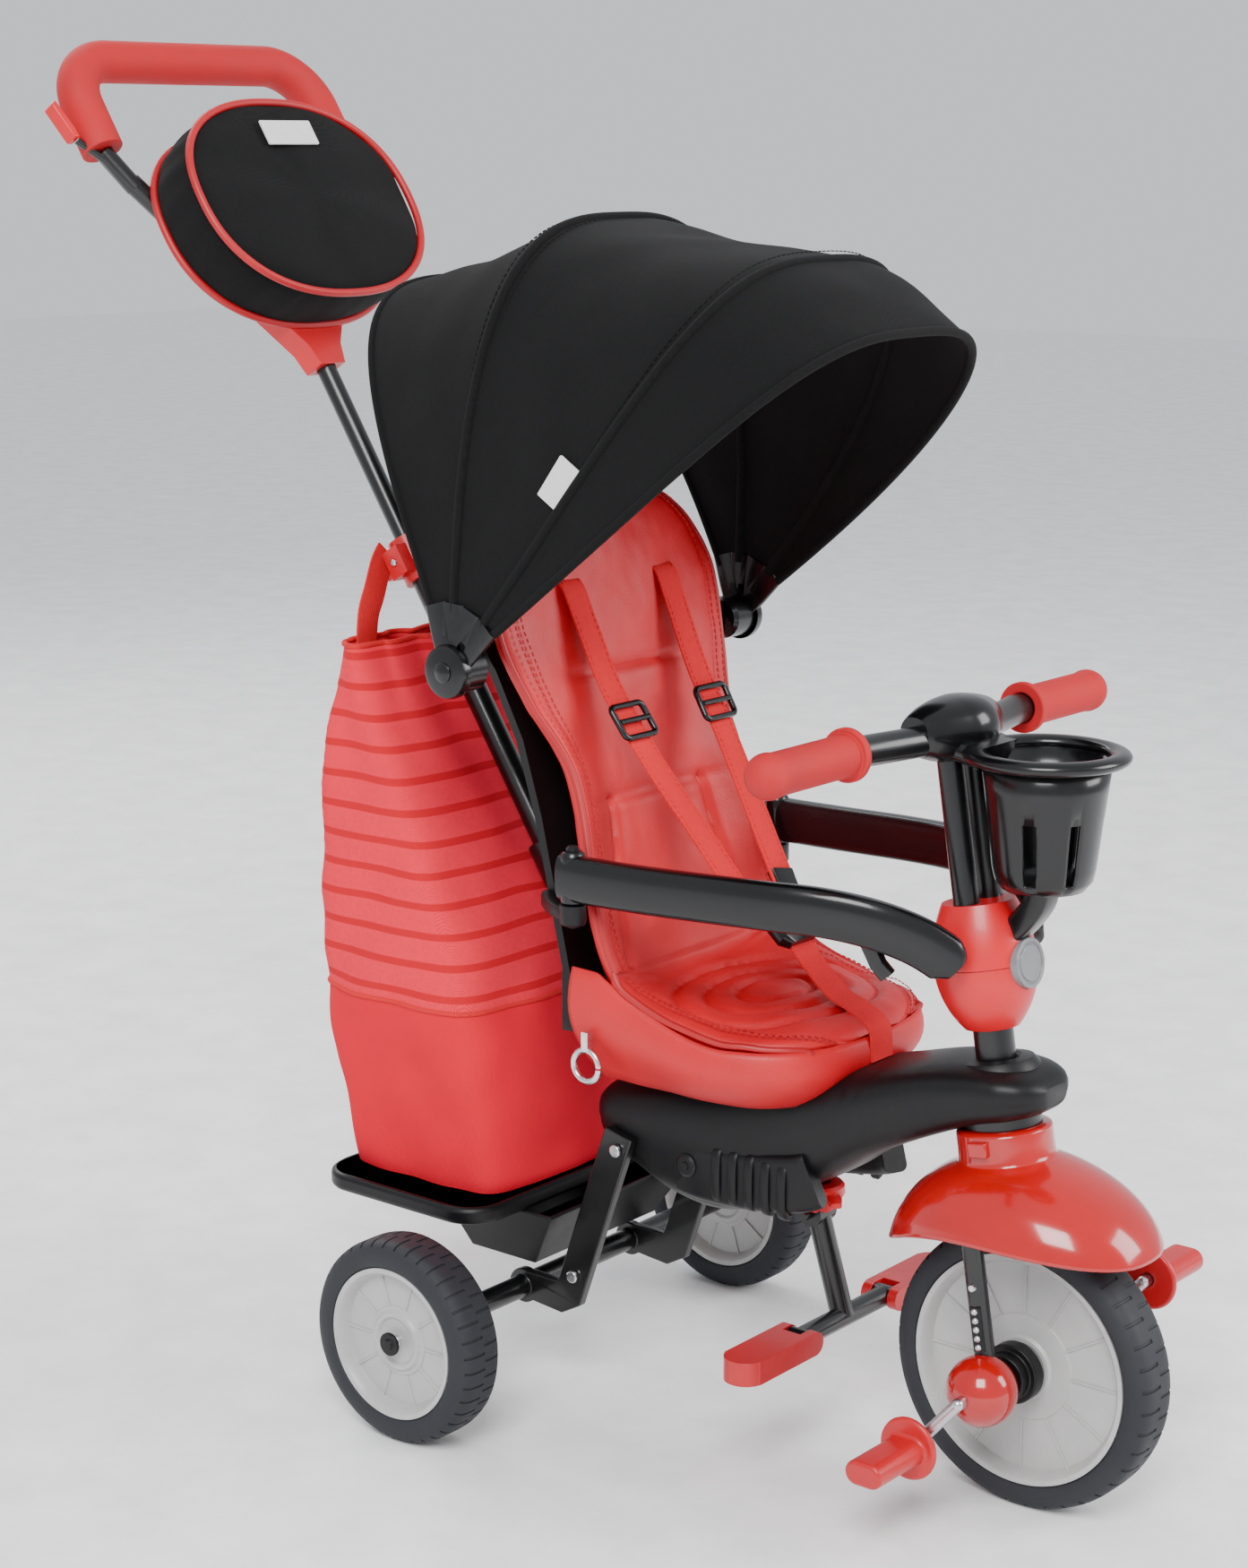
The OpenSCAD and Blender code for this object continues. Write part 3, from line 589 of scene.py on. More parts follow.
def make_finishes(colours):
    tone = {name: tuple(getattr(colours, name)) for name in TricycleColours.__annotations__}
    FINISH.update(
        fabric=plastic("Seat leatherette", tone["fabric"], 0.5, grain=620.0, depth=0.00022, wear=0.15),
        webbing=cloth("Red webbing", tone["webbing"], threads=520.0, rough=0.8, sheen=0.2),
        canopy=cloth(
            "Canopy cloth", tone["canopy"], threads=900.0, rough=0.9, sheen=0.03, tint=(0.5, 0.5, 0.5),
            folds=2.0,
        ),
        bag=striped_cloth("Bag cloth", tone["bag"], tone["stripe"], tone["panel"], 0.308, 0.0225),
        piping=plastic("Piping", shade(tone["fabric"], 0.7), 0.45, grain=1400.0),
        thread=plastic("Sewing thread", shade(tone["fabric"], 0.75), 0.7, grain=2600.0),
        gloss=plastic("Glossy red plastic", tone["gloss"], 0.16, grain=500.0, depth=0.00001, coat=0.5),
        matte=plastic("Satin red plastic", tone["matte"], 0.36, grain=1500.0, depth=0.00003, coat=0.1),
        foam=plastic("Red foam rubber", tone["foam"], 0.72, grain=1600.0, depth=0.00012),
        pedal=plastic("Pedal red plastic", tone["pedal"], 0.34, grain=1200.0, depth=0.00003, coat=0.1),
        black=plastic(
            "Black plastic", tone["black"], 0.42, grain=1300.0, depth=0.00006, Specular_IOR_Level=0.3
        ),
        satin=plastic(
            "Black satin plastic", shade(tone["black"], 0.8), 0.24, grain=900.0, depth=0.00002, coat=0.15,
            Specular_IOR_Level=0.4,
        ),
        paint=plastic(
            "Black powder coat", shade(tone["black"], 0.75), 0.3, grain=2400.0, depth=0.00005, coat=0.2
        ),
        tyre=plastic("Foam tyre", tone["tyre"], 0.68, grain=1900.0, depth=0.00014),
        rim=plastic("Grey plastic", tone["rim"], 0.38, grain=1100.0, depth=0.00003),
        badge=plastic("Badge grey", linear(118, 118, 121), 0.3, grain=900.0, depth=0.00003, coat=0.2),
        label=cloth("Blank label", linear(225, 225, 222), threads=800.0, rough=0.8, sheen=0.0),
        steel=metal("Plated steel", (0.72, 0.72, 0.73), 0.24, along=(1, 0.2, 1)),
        zinc=metal("Zinc wire", (0.62, 0.62, 0.64), 0.32, along=(0.2, 1, 0.2)),
    )


# ---------------------------------------------------------------- canopy


CANOPY_HALF = 171.0


def bow(side, top, radius, count=72, sag=0.0):
    """A canopy bow from the right hinge over to the left; the angles lean forward from upright."""
    dense = []
    for i in range(361):
        t = 0.05 + (math.pi - 0.1) * i / 360
        lean = math.radians(side + (top - side) * math.sin(t))
        reach = (radius - sag * math.sin(t) ** 0.5) * math.sin(t) ** (2 / 3)
        c = math.cos(t)
        across = CANOPY_HALF * math.copysign(abs(c) ** (2 / 3), c)
        dense.append(HINGE + ((X * math.sin(lean) + Z * math.cos(lean)) * reach - Y * across) / 1000)
    return evenly(dense, count)


# Each is its lean at the hinges and at its top, in degrees, and its reach from the hinges, in mm.
REAR_HEM, MID_BOW, FRONT_BOW, BRIM = (-23, -28, 308), (3, 3, 320), (40, 35, 357), (53, 49, 374)


def panel_rows(low, high, sag, count=18):
    """Rows of points over a canopy panel, which dips by sag mm between its two bows."""
    rows = []
    for i in range(count + 1):
        f = i / count
        side, top, radius = (a + (b - a) * f for a, b in zip(low, high))
        row = bow(side, top, radius, sag=sag * math.sin(math.pi * f))
        fade = math.sin(math.pi * f)
        rows.append([p + (p - HINGE).normalized() * rumple(p, 22.0, 0.0035) * fade for p in row])
    return rows


def canopy_cloth(name, rows, body, node, thick):
    bm = bmesh.new()
    skin(bm, rows)
    obj = piece(name, bm, FINISH["canopy"], body, hides=[node], sharp=60.0, turn_out=False)
    modify(obj, "SOLIDIFY", thickness=thick, offset=0.0)
    return subdivided(obj)


def piping_on(name, path, radius, material, body, up, closed=False):
    bm = bmesh.new()
    rod(bm, path, radius, 12, up, closed=closed)
    piece(name, bm, FINISH[material], body)


def build_canopy(sizes):
    sag = sizes.sag * 1000
    rear_rows, front_rows = panel_rows(REAR_HEM, MID_BOW, sag), panel_rows(MID_BOW, FRONT_BOW, sag)
    brim_rows = panel_rows(FRONT_BOW, BRIM, -2.0, 8)
    rear = canopy_cloth("canopy_rear_cloth", rear_rows, None, "canopy_rear", sizes.cloth)
    front = canopy_cloth("canopy_front_cloth", front_rows, None, "canopy_middle", sizes.cloth)
    brim = canopy_cloth("canopy_brim", brim_rows, "front_canopy", "canopy_front", sizes.cloth * 2.2)
    tops = [bow(*shape)[36] for shape in (REAR_HEM, MID_BOW, FRONT_BOW)]
    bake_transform(rear)
    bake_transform(front)
    for name, shape, radius, body in (
        ("canopy_rear_hem", REAR_HEM, 0.003, "frame"),
        ("canopy_middle_bow", MID_BOW, 0.0042, "middle_canopy"),
        ("canopy_front_bow", FRONT_BOW, 0.0042, "front_canopy"),
        ("canopy_brim_hem", BRIM, 0.0034, "front_canopy"),
    ):
        piping_on(name, bow(*shape, count=96), radius, "canopy", body, X + Y * 0.05)
    for (side, top, reach), body in ((MID_BOW, "middle_canopy"), (FRONT_BOW, "front_canopy")):
        bm = bmesh.new()
        for shift in (-1.6, 1.6):
            path = bow(side + shift, top + shift, reach + 0.6, count=96)[6:-6]
            stitches(bm, path, X + Y * 0.05, width=0.0008)
        piece(f"{body}_stitches", bm, FINISH["canopy"], body)
    build_canopy_hinges()
    bm = bmesh.new()
    row = bow(36, 32, 352)
    along = (row[12] - row[10]).normalized()
    away = (-Y - along * -along.y).normalized()
    matrix = Matrix((along, away.cross(along), away)).transposed().to_4x4()
    matrix.translation = row[11] + away * 0.0012
    slab(bm, round_box(0.017, 0.011, 0.001, 2), 0.0012, matrix)
    piece("canopy_label", bm, FINISH["label"], "front_canopy")


def build_canopy_hinges():
    """Each hinge's round cap, its clamp arm to the seat and the blades that fan out under the bows."""
    bm = bmesh.new()
    for _, sign in SIDES:
        hub = HINGE + Y * 0.1755 * sign
        lathe(bm, [(0, 6), (15, 6), (19, 4.4), (20, 1.5), (20, -3)], hub, Y * sign, 48)
        lathe(bm, [(0, 8.2), (6, 8.2), (7.5, 7), (7.5, 5)], hub, Y * sign, 32)
        lathe(bm, [(17, -3), (17, -24), (14, -27), (0, -27)], hub, Y * sign, 40)
        arm = on_side(sign, (25, 148, 588), (12, 144, 587), (0, 132, 586), (-4, 108, 585))
        sweep(bm, smooth_path(arm, 5), round_box(0.013, 0.005, 0.004, 3), up=Z)
        for lean in (-16, 4, 24, 44):
            away = X * math.sin(math.radians(lean)) + Z * math.cos(math.radians(lean))
            path = [hub + away * (k / 1000) - Y * (sign * 0.0035) for k in (6, 26, 50)]
            blade = round_box(0.0035, 0.0105, 0.003, 3)
            sweep(bm, path, blade, up=Y, scales=[(1, 0.9), (1, 1.0), (0.8, 1.0)])
    piece("canopy_hinge_caps", bm, FINISH["satin"], "frame", hides=["canopy_brackets"])


# ---------------------------------------------------------------- seat

# Ahead of the rear axle, half the liner's width, and height, in mm, from the front rim up to the top.
SEAT_LINE = [
    (280, 46, 322), (272, 71, 329), (251, 92, 332), (218, 105, 333), (176, 110, 333), (135, 112, 333),
    (108, 110, 340), (94, 110, 360), (87, 111, 385), (76, 108, 435), (64, 99, 490), (57, 101, 520),
    (49, 116, 556), (39, 129, 600), (31, 130, 634), (23, 118, 666), (17, 92, 690), (13, 58, 704),
    (12, 30, 709),
]


def seat_rows():
    """The seat liner's middle line as (point, half width, normal) from the front rim to the top."""
    dense = smooth_path([Vector(p) for p in SEAT_LINE], 12)
    line = evenly(dense, 170)
    rows = []
    for i, p in enumerate(line):
        ahead, behind = line[min(i + 1, len(line) - 1)], line[max(i - 1, 0)]
        along = Vector((ahead.x - behind.x, 0, ahead.z - behind.z)).normalized()
        rows.append((p, Y.cross(along)))
    return rows


def hip_rise(x):
    """How far the base's sides rise towards the back, in mm."""
    return 38 * min(1.0, max(0.0, (222 - x) / 112)) ** 1.5


def wing(x, z):
    """How far the liner's sides stand out of its middle, in mm."""
    if z < 336:
        return 3 + hip_rise(x)
    table = [(336, 41), (370, 40), (446, 34), (507, 25), (551, 13), (600, 6), (720, 2)]
    for (z0, a), (z1, b) in zip(table, table[1:]):
        if z <= z1:
            return a + (b - a) * max(0.0, (z - z0) / (z1 - z0))
    return table[-1][1]


def seat_point(row, v, q, crown, quilting):
    """A point of the liner: v across from -1 to 1, q from the back (-1) to the face (1)."""
    p, out = row
    width = p.y
    height = wing(p.x, p.z) * abs(v) ** 2.6 - 10.5 + q * 10.5
    if q > 0:
        y = v * width
        height += q * crown * 1000 * (1 - v * v)
        depth = quilting * 1000
        if p.z < 338 and p.x > 105:
            for a, b in ((24, 36), (46, 64), (68, 90)):
                reach = math.hypot((p.x - 192) / a, y / b)
                height += groove((reach - 1) * (a + b) / 2, 3.0, depth) * q
        elif p.z > 350:
            edge = 66 + 10 * math.cos((p.z - 350) / 130 * math.pi)
            if p.z < 480:
                height += groove(abs(y) - edge, 3.0, depth) * q
                if abs(y) < edge:
                    height += 3.0 * q * min(1.0, (edge - abs(y)) / 14)
            fade = math.exp(-(((abs(y) / 70) ** 4)))
            height += groove(p.z - 478, 3.2, depth * fade) * q
            height += groove(p.z - 572, 3.2, depth * fade * 0.8) * q
        height += groove((1 - abs(v)) * width - 13, 1.6, 1.6) * q
    flat = mm(p.x, 0, p.z) + Y * (v * width / 1000)
    return flat + out * ((height + rumple(flat, 30.0, 1.6) + rumple(flat, 90.0, 0.5)) / 1000)


def seat_outline(count):
    dense = [Vector((a * 105, b * 10.5, 0)) for a, b in ellipse(1, 1, 2400, 4.0)]
    even = evenly(dense + dense[:1], count + 1)[:-1]
    return [(p.x / 105, p.y / 10.5) for p in even]


def build_seat(sizes):
    rows, outline = seat_rows(), seat_outline(150)
    bm = bmesh.new()
    skin(
        bm,
        [[seat_point(row, v, q, sizes.crown, sizes.quilting) for v, q in outline] for row in rows],
        closed=True, capped=True,
    )
    cover = FINISH["fabric"]
    liner = piece("seat_liner", bm, cover, "frame", hides=["seat_cushion"], sharp=70.0)
    modify(liner, "SMOOTH", factor=0.4, iterations=1)

    def side_line(v, q):
        return [seat_point(row, v, q, sizes.crown, sizes.quilting) for row in rows[3:-3]]

    up = Vector((0.77, 0.05, 0.64))
    right, left = side_line(-1, 0.25), side_line(1, 0.25)
    loop = right + left[::-1]
    loop = evenly(smooth_path(loop[::4], 4, closed=True), 360)[:-1]
    piping_on("seat_piping", loop, sizes.piping, "piping", "frame", closed=True, up=up)
    bm = bmesh.new()
    for inset in (0.86, 0.92):
        for v in (-inset, inset):
            path = evenly([p + rows[k + 3][1] * 0.0003 for k, p in enumerate(side_line(v, 1))], 300)
            stitches(bm, path, up)
    piece("seat_stitches", bm, FINISH["thread"], "frame")
    build_skirt()
    build_harness()


def build_skirt():
    half = [(84, 107), (130, 111), (176, 112), (216, 109), (248, 97), (269, 78), (280, 50), (284, 16)]
    plan = smooth_path([Vector((x, -y, 0)) for x, y in half] + [Vector((x, y, 0)) for x, y in half[::-1]], 8)
    plan = evenly(plan, 140)
    middle_point = Vector((170, 0, 0))
    rows = []
    for k in range(11):
        f = k / 10
        row = []
        for i, p in enumerate(plan):
            inward = (middle_point - p).normalized()
            tuck = 24 * f ** 2.4 - 6.0 * math.sin(math.pi * f) + 0.5 * math.sin(i * 0.42) * f
            q = p + inward * tuck
            top = 325 + hip_rise(p.x)
            row.append(mm(q.x, q.y, top + (277 - top) * f))
        rows.append(row)
    bm = bmesh.new()
    skin(bm, rows)
    skirt = piece(
        "seat_skirt_cloth", bm, FINISH["fabric"], "frame", hides=["seat_skirt"], turn_out=False
    )
    modify(skirt, "SOLIDIFY", thickness=0.0022, offset=0.0)
    bm = bmesh.new()
    stitches(bm, rows[9], Z)
    sewing = piece("seat_skirt_stitches", bm, FINISH["thread"], "frame")


def strap(bm, points, width, thickness, up):
    sweep(bm, smooth_path(points, 8), round_box(thickness / 2, width / 2, thickness * 0.45, 2), up)


def webbing(name, points, width, length, up, held, rests_on, hides=()):
    """A strap of webbing in a piece of its own, of that width; its length is not used."""
    bm = bmesh.new()
    strap(bm, points, width, 0.0022, up)
    obj = piece(name, bm, FINISH["webbing"], "frame", hides=hides)


# The way the harness faces, over the chest and over the lap.
CHEST, LAP = Vector((0.8, 0, 0.6)), Vector((0.6, 0, 0.8))


def build_harness():
    threads = bmesh.new()
    for side, sign in SIDES:
        points = on_side(
            sign, (26, 56, 642), (40, 56, 640), (54, 55, 612), (76, 53, 566), (108, 48, 518), (142, 38, 470),
            (178, 27, 420), (194, 22, 402),
        )
        name = f"harness_strap_{side}"
        webbing(name, points, 0.025, 0.305, CHEST, "hung", "seat_liner", ["harness_straps"])
        for edge in (-0.0095, 0.0095):
            stitches(threads, [p + Y * edge + CHEST * 0.0012 for p in smooth_path(points[1:], 8)], CHEST)
    crotch = on_side(
        1, (212, 0, 384), (228, 0, 366), (250, 0, 348), (268, 0, 341), (286, 0, 330), (289, 0, 306)
    )
    webbing("harness_strap_crotch", crotch, 0.027, 0.125, LAP, "laid", "seat_liner")
    hardware = bmesh.new()
    for _, sign in SIDES:
        upper, centre, lower = on_side(sign, (76, 53, 566), (94, 50, 541), (108, 48, 518))
        along = (lower - upper).normalized()
        out = along.cross(Y).normalized()
        out = out if out.x > 0 else -out
        centre = centre + out * 0.002
        ring = [centre + along * (a / 1000) + Y * (b / 1000) for a, b in round_box(13, 18, 4, 4)]
        rod(hardware, ring, 0.0024, 10, out, closed=True)
        rod(hardware, [centre + Y * end + out * 0.0015 for end in (-0.017, 0.017)], 0.0022, 10, out)
    buckle = on_side(1, (190, 0, 406), (194, 0, 402), (212, 0, 386), (217, 0, 382))
    sweep(hardware, buckle, round_box(0.0065, 0.022, 0.005, 4), LAP, scales=[0.7, 1.0, 1.0, 0.7])
    for _, sign in SIDES:
        clip = on_side(sign, (174, 29, 424), (186, 24, 411), (196, 16, 402))
        sweep(hardware, clip, round_box(0.0045, 0.011, 0.003, 3), LAP, scales=[1.0, 0.9, 0.7])
    piece("harness_buckles", hardware, FINISH["satin"], "frame", hides=["harness_hardware"])
    piece("harness_stitches", threads, FINISH["webbing"], "frame")


# ---------------------------------------------------------------- shopping bag

# Height, the outline's back and front, and half its width, in mm.
BAG_SECTIONS = [
    (158, -144, 6, 112), (164, -148, 10, 117), (180, -151, 11, 119), (235, -165, 6, 120),
    (300, -178, -4, 121), (360, -183, -24, 120), (420, -186, -54, 115), (480, -188, -92, 103),
    (530, -189, -126, 90), (562, -190, -148, 79), (574, -189, -158, 75),
]


def bag_row(z, x0, x1, y, count=120):
    """One level of the shopping bag as points round its outline."""
    centre, half = (x0 + x1) / 2, (x1 - x0) / 2
    dense = [Vector((a, b, 0)) for a, b in ellipse(half, y, 960, 7.0)]
    row = []
    gather = min(1.0, max(0.0, (z - 430) / 150))
    bulge = math.sin(math.pi * min(1.0, max(0.0, (z - 165) / 400)))
    for i, p in enumerate(evenly(dense + dense[:1], count + 1)[:-1]):
        out = Vector((p.x, p.y, 0)).normalized()
        spot = mm(centre + p.x, p.y, z)
        swell = rumple(spot, 8.0, 12.0) * bulge + rumple(spot, 24.0, 5.0)
        swell += gather * 5.5 * math.sin(i * 0.42 + 0.8 * math.sin(z / 40))
        row.append(spot + out * swell / 1000)
    return row


def build_shopping_bag(sizes):
    levels = evenly(smooth_path([Vector(s[:3]) for s in BAG_SECTIONS], 10), 110)
    widths = smooth_path([Vector((s[0], s[3], 0)) for s in BAG_SECTIONS], 10)

    def width_at(z):
        near = min(widths, key=lambda w: abs(w.x - z))
        return near.y

    rows = [bag_row(p.x, p.y, p.z, width_at(p.x)) for p in levels]
    bm = bmesh.new()
    skin(bm, rows, closed=True)
    floor = [e for e in bm.edges if e.is_boundary and all(v.co.z < 0.17 for v in e.verts)]
    bmesh.ops.holes_fill(bm, edges=floor, sides=0)
    bag = piece(
        "shopping_bag_cloth", bm, FINISH["bag"], "frame", hides=["shopping_bag"], sharp=70.0
    )
    modify(bag, "SOLIDIFY", thickness=sizes.cloth * 1.4, offset=-1.0)
    modify(bag, "SMOOTH", factor=0.5, iterations=2)
    seams = ("bag_seam", 308, 0.0018), ("bag_rim", 573, 0.0024), ("bag_floor_seam", 166, 0.002)
    for name, z, radius in seams:
        near = min(range(len(levels)), key=lambda k: abs(levels[k].x - z))
        piping_on(name, rows[near], radius, "webbing", "frame", closed=True, up=Z)
    threads = bmesh.new()
    for side, sign in SIDES:
        points = on_side(
            sign, (-158, 58, 520), (-172, 55, 560), (-176, 50, 592), (-178, 40, 612), (-186, 24, 630),
            (-190, 12, 640),
        )
        webbing(
            f"bag_strap_{side}", points, 0.022, 0.135, Vector((0.95, 0, 0.3)), "hung", "mast_clamp_finished",
            ["bag_straps"],
        )
        corner = mm(-158, 58 * sign, 524)
        for a, b in (((-8, -8), (8, 8)), ((8, -8), (-8, 8)), ((-8, -8), (8, -8)), ((-8, 8), (8, 8))):
            ends = [corner + Vector((0.0025, p[0] / 1000, p[1] / 1000)) for p in (a, b)]
            stitches(threads, evenly(ends, 6), X)
    piece("bag_stitches", threads, FINISH["thread"], "frame")


# ---------------------------------------------------------------- parent handle


def build_parent_bag():
    """The round padded bag: rows round it from its back, at n mm out of the mast, to its front."""
    rows = []
    count = 96
    for n, grow, sink in (
        (2, 0.25, 0), (4, 0.55, 0), (7, 0.82, 0), (9.5, 0.95, 0), (12, 1.0, 0), (24, 1.025, 1),
        (36, 1.035, 1), (48, 1.025, 1), (60, 1.0, 0), (62.5, 0.95, 0), (65, 0.82, 0), (68, 0.55, 0),
        (69.5, 0.25, 0),
    ):
        row = []
        for a, b in ellipse(88 * grow, 116 * grow, count, 2.3):
            spot = mast(558 + a, b, n)
            wave = 1.2 * math.sin(count * 0.3 * math.atan2(b, a)) * (0.3 + sink) * 0.6
            outward = (spot - mast(558, 0, n)).normalized()
            row.append(spot + MAST_OUT * rumple(spot, 26.0, 0.004) + outward * wave / 1000)
        rows.append(row)
    bm = bmesh.new()
    skin(bm, rows, closed=True, capped=True)
    fabric, hides = FINISH["canopy"], ["parent_bag"]
    bag = piece("parent_bag_cloth", bm, fabric, "push_handle", hides=hides, sharp=70.0)
    subdivided(bag)
    for name, n in (("parent_bag_piping_front", 61), ("parent_bag_piping_back", 11)):
        loop = [mast(558 + a, b, n) for a, b in ellipse(89, 117, 120, 2.3)]
        piping_on(name, loop, 0.0032, "piping", "push_handle", closed=True, up=MAST_OUT)
    bm = bmesh.new()
    matrix = Matrix((Y, MAST_UP, MAST_OUT)).transposed().to_4x4()
    matrix.translation = mast(612, 0, 70.4)
    slab(bm, round_box(0.028, 0.011, 0.001, 2), 0.0012, matrix)
    piece("parent_bag_label", bm, FINISH["label"], "push_handle")


# ---------------------------------------------------------------- wheels


def build_wheel(name, centre, outer, inner, width, body, nodes, ribs=12):
    """A foam tyre with cut tread on a dished disc with thin ribs, both faces alike."""
    half = width / 2
    bm = bmesh.new()
    profile = [
        (inner, -half + 4), (inner + 2, -half + 1.2), (inner + 5, -half), (outer - 9, -half + 0.6),
        (outer - 4, -half + 2.5), (outer - 1.2, -half + 6), (outer - 0.2, -half + 10),
        (outer, -half + 14), (outer, 0),
    ]
    profile += [(r, -h) for r, h in profile[-2::-1]]
    lathe(bm, profile + profile[:1], centre, Y, 240)
    bmesh.ops.recalc_face_normals(bm, faces=bm.faces)
    treads = []
    for face in bm.faces:
        spot = face.calc_center_median() - centre
        reach = math.hypot(spot.x, spot.z) * 1000
        turn = int(round(math.degrees(math.atan2(spot.z, spot.x)) / 1.5 - 0.5))
        if reach > outer - 3.2 and turn % 6 == (0 if spot.y > 0 else 3):
            treads.append(face)
    bmesh.ops.inset_region(bm, faces=treads, thickness=0.0003, depth=-0.001, use_even_offset=True)
    piece(f"{name}_tyre_foam", bm, FINISH["tyre"], body, hides=[nodes[0]], sharp=32.0)
    bm = bmesh.new()
    dish = half - 7
    face = [
        (0, dish - 3), (17, dish - 3), (19, dish - 1), (22, dish - 1), (24, dish - 3),
        (inner * 0.46, dish - 3.4), (inner * 0.47, dish - 4.4), (inner - 8, dish - 4.4),
        (inner - 6.5, dish - 1), (inner - 5, dish + 3), (inner - 3, dish + 5.2), (inner + 0.6, dish + 5.6),
    ]
    lathe(bm, face + [(r, -h) for r, h in face[::-1]], centre, Y, 120)
    for i in range(ribs):
        angle = TURN * i / ribs
        away = X * math.cos(angle) + Z * math.sin(angle)
        for sign in (-1, 1):
            path = [
                centre + away * (r / 1000) + Y * sign * (h / 1000)
                for r, h in ((inner * 0.46, dish - 4.1), (inner * 0.7, dish - 4.1), (inner - 7, dish - 4.1))
            ]
            sweep(bm, path, round_box(0.0012, 0.0007, 0.0005, 2), up=Y)
    piece(f"{name}_rim_disc", bm, FINISH["rim"], body, hides=[nodes[1]], sharp=32.0)


def build_wheels():
    build_wheel("front", FRONT, 105, 85, 43, "front_wheel", ("front_tyre", "front_rim"))
    for side, sign in SIDES:
        centre, nodes = AXLE + Y * 0.2034 * sign, (f"rear_tyre_{side}", f"rear_rim_{side}")
        build_wheel(f"rear_{side}", centre, 79, 58, 42, f"{side}_rear_wheel", nodes, 10)


# ---------------------------------------------------------------- hard parts

BODY_OF = {node: body for body, nodes in frame["record"]["behaviour"]["bodies"].items() for node in nodes}
SLOT_OF = {part["node"]: part["material_slot"] for part in frame["record"]["subparts"]}
SHELLS = {
    "black": [
        "tray", "bucket", "seat_shell", "clutch_hubs", "hub_cap_right", "hub_cap_left",
    ],
    "paint": [
        "rear_frame", "mast_receiver", "mast_lower_tube", "fork", "steering_column", "handlebar",
        "mast_upper_tube", "handle_arms", "footrest_post",
    ],
    "gloss": ["hub_balls", "fender_clip"],
    "matte": ["mast_clamp", "egg_lower", "egg_upper", "handle_yoke", "handle_trigger"],
    "pedal": ["pedal_right", "pedal_left", "foot_peg_right", "foot_peg_left"],
    "foam": ["hand_grips", "handle_grip"],
    "badge": ["egg_badge"],
    "steel": ["head_tube", "rear_axle", "frame_bolts", "snap_hook"],
    "zinc": ["crank"],
}
# The width of a hard part's rounded edges, where it isn't EDGE.
EDGE = 0.0012
EDGES = {
    "tray": 0.004, "seat_shell": 0.002, "handle_yoke": 0.004, "mast_clamp": 0.003, "foot_peg_right": 0.004,
    "foot_peg_left": 0.004, "pedal_right": 0.003, "pedal_left": 0.003,
}


def build_hard_parts(names):
    for finish, nodes in SHELLS.items():
        for node in nodes:
            if node in names:
                rounded(node, FINISH[finish], EDGES.get(node, EDGE))


# ---------------------------------------------------------------- casing, bars, mudguard

# Ahead of the rear axle, the casing's low and high point, and half its width, in mm.
CASING = [
    (62, 222, 246, 44), (66, 212, 254, 55), (78, 202, 259, 61), (100, 190, 264, 63), (130, 176, 271, 64),
    (165, 170, 278, 64), (195, 176, 284, 63), (230, 196, 292, 62), (265, 215, 299, 60), (300, 240, 308, 55),
    (347, 264, 321, 49), (385, 280, 326, 44), (412, 288, 325, 40), (428, 294, 321, 30), (436, 300, 315, 16),
]


def build_casing():
    """The body casing: one lofted shell whose upper half overhangs the lower at the seam."""
    sides = evenly(smooth_path([Vector((x, low, high)) for x, low, high, _ in CASING], 10), 120)
    widths = smooth_path([Vector((x, half, 0)) for x, _, _, half in CASING], 10)
    rows = []
    for p in sides:
        half = min(widths, key=lambda w: abs(w.x - p.x)).y
        centre, reach = (p.y + p.z) / 2, (p.z - p.y) / 2
        seam = p.y + (p.z - p.y) * 0.5
        row = []
        for y, z in ellipse(half, reach, 96, 3.4):
            height = centre + z
            row.append(mm(p.x, y - math.copysign(1.8, y) * (height < seam), height))
        rows.append(row)
    bm = bmesh.new()
    skin(bm, rows, closed=True, capped=True)
    for _, sign in SIDES:
        for i in range(5):
            x = 186.5 + 15 * i
            path = on_side(sign, (x, 57, 231), (x, 63, 227), (x, 64.5, 210), (x, 63, 194), (x, 57, 190))
            sweep(bm, smooth_path(path, 4), ellipse(0.0028, 0.0042, 16, 3.0), up=Y * sign + Z * 0.2)
        pod = on_side(sign, (148, 50, 208), (170, 54, 208), (212, 54, 210), (252, 54, 217), (266, 50, 222))
        sweep(bm, smooth_path(pod, 5), round_box(0.022, 0.010, 0.006, 4), up=Z)
        lathe(bm, [(0, 2.4), (7, 2.4), (9, 1), (9.4, -4)], mm(158, 63.5 * sign, 212), Y * sign, 32)
        lathe(bm, [(0, 3.4), (3, 3.4), (3.6, 2)], mm(158, 63.5 * sign, 212), Y * sign, 24)
    lathe(bm, [(16, 223), (19, 225), (27, 224), (31, 219), (32, 212)], FRONT, STEER_UP, 64)
    halves = ["casing_upper", "casing_lower"]
    piece("casing_shell", bm, FINISH["black"], "frame", hides=halves, sharp=32.0)


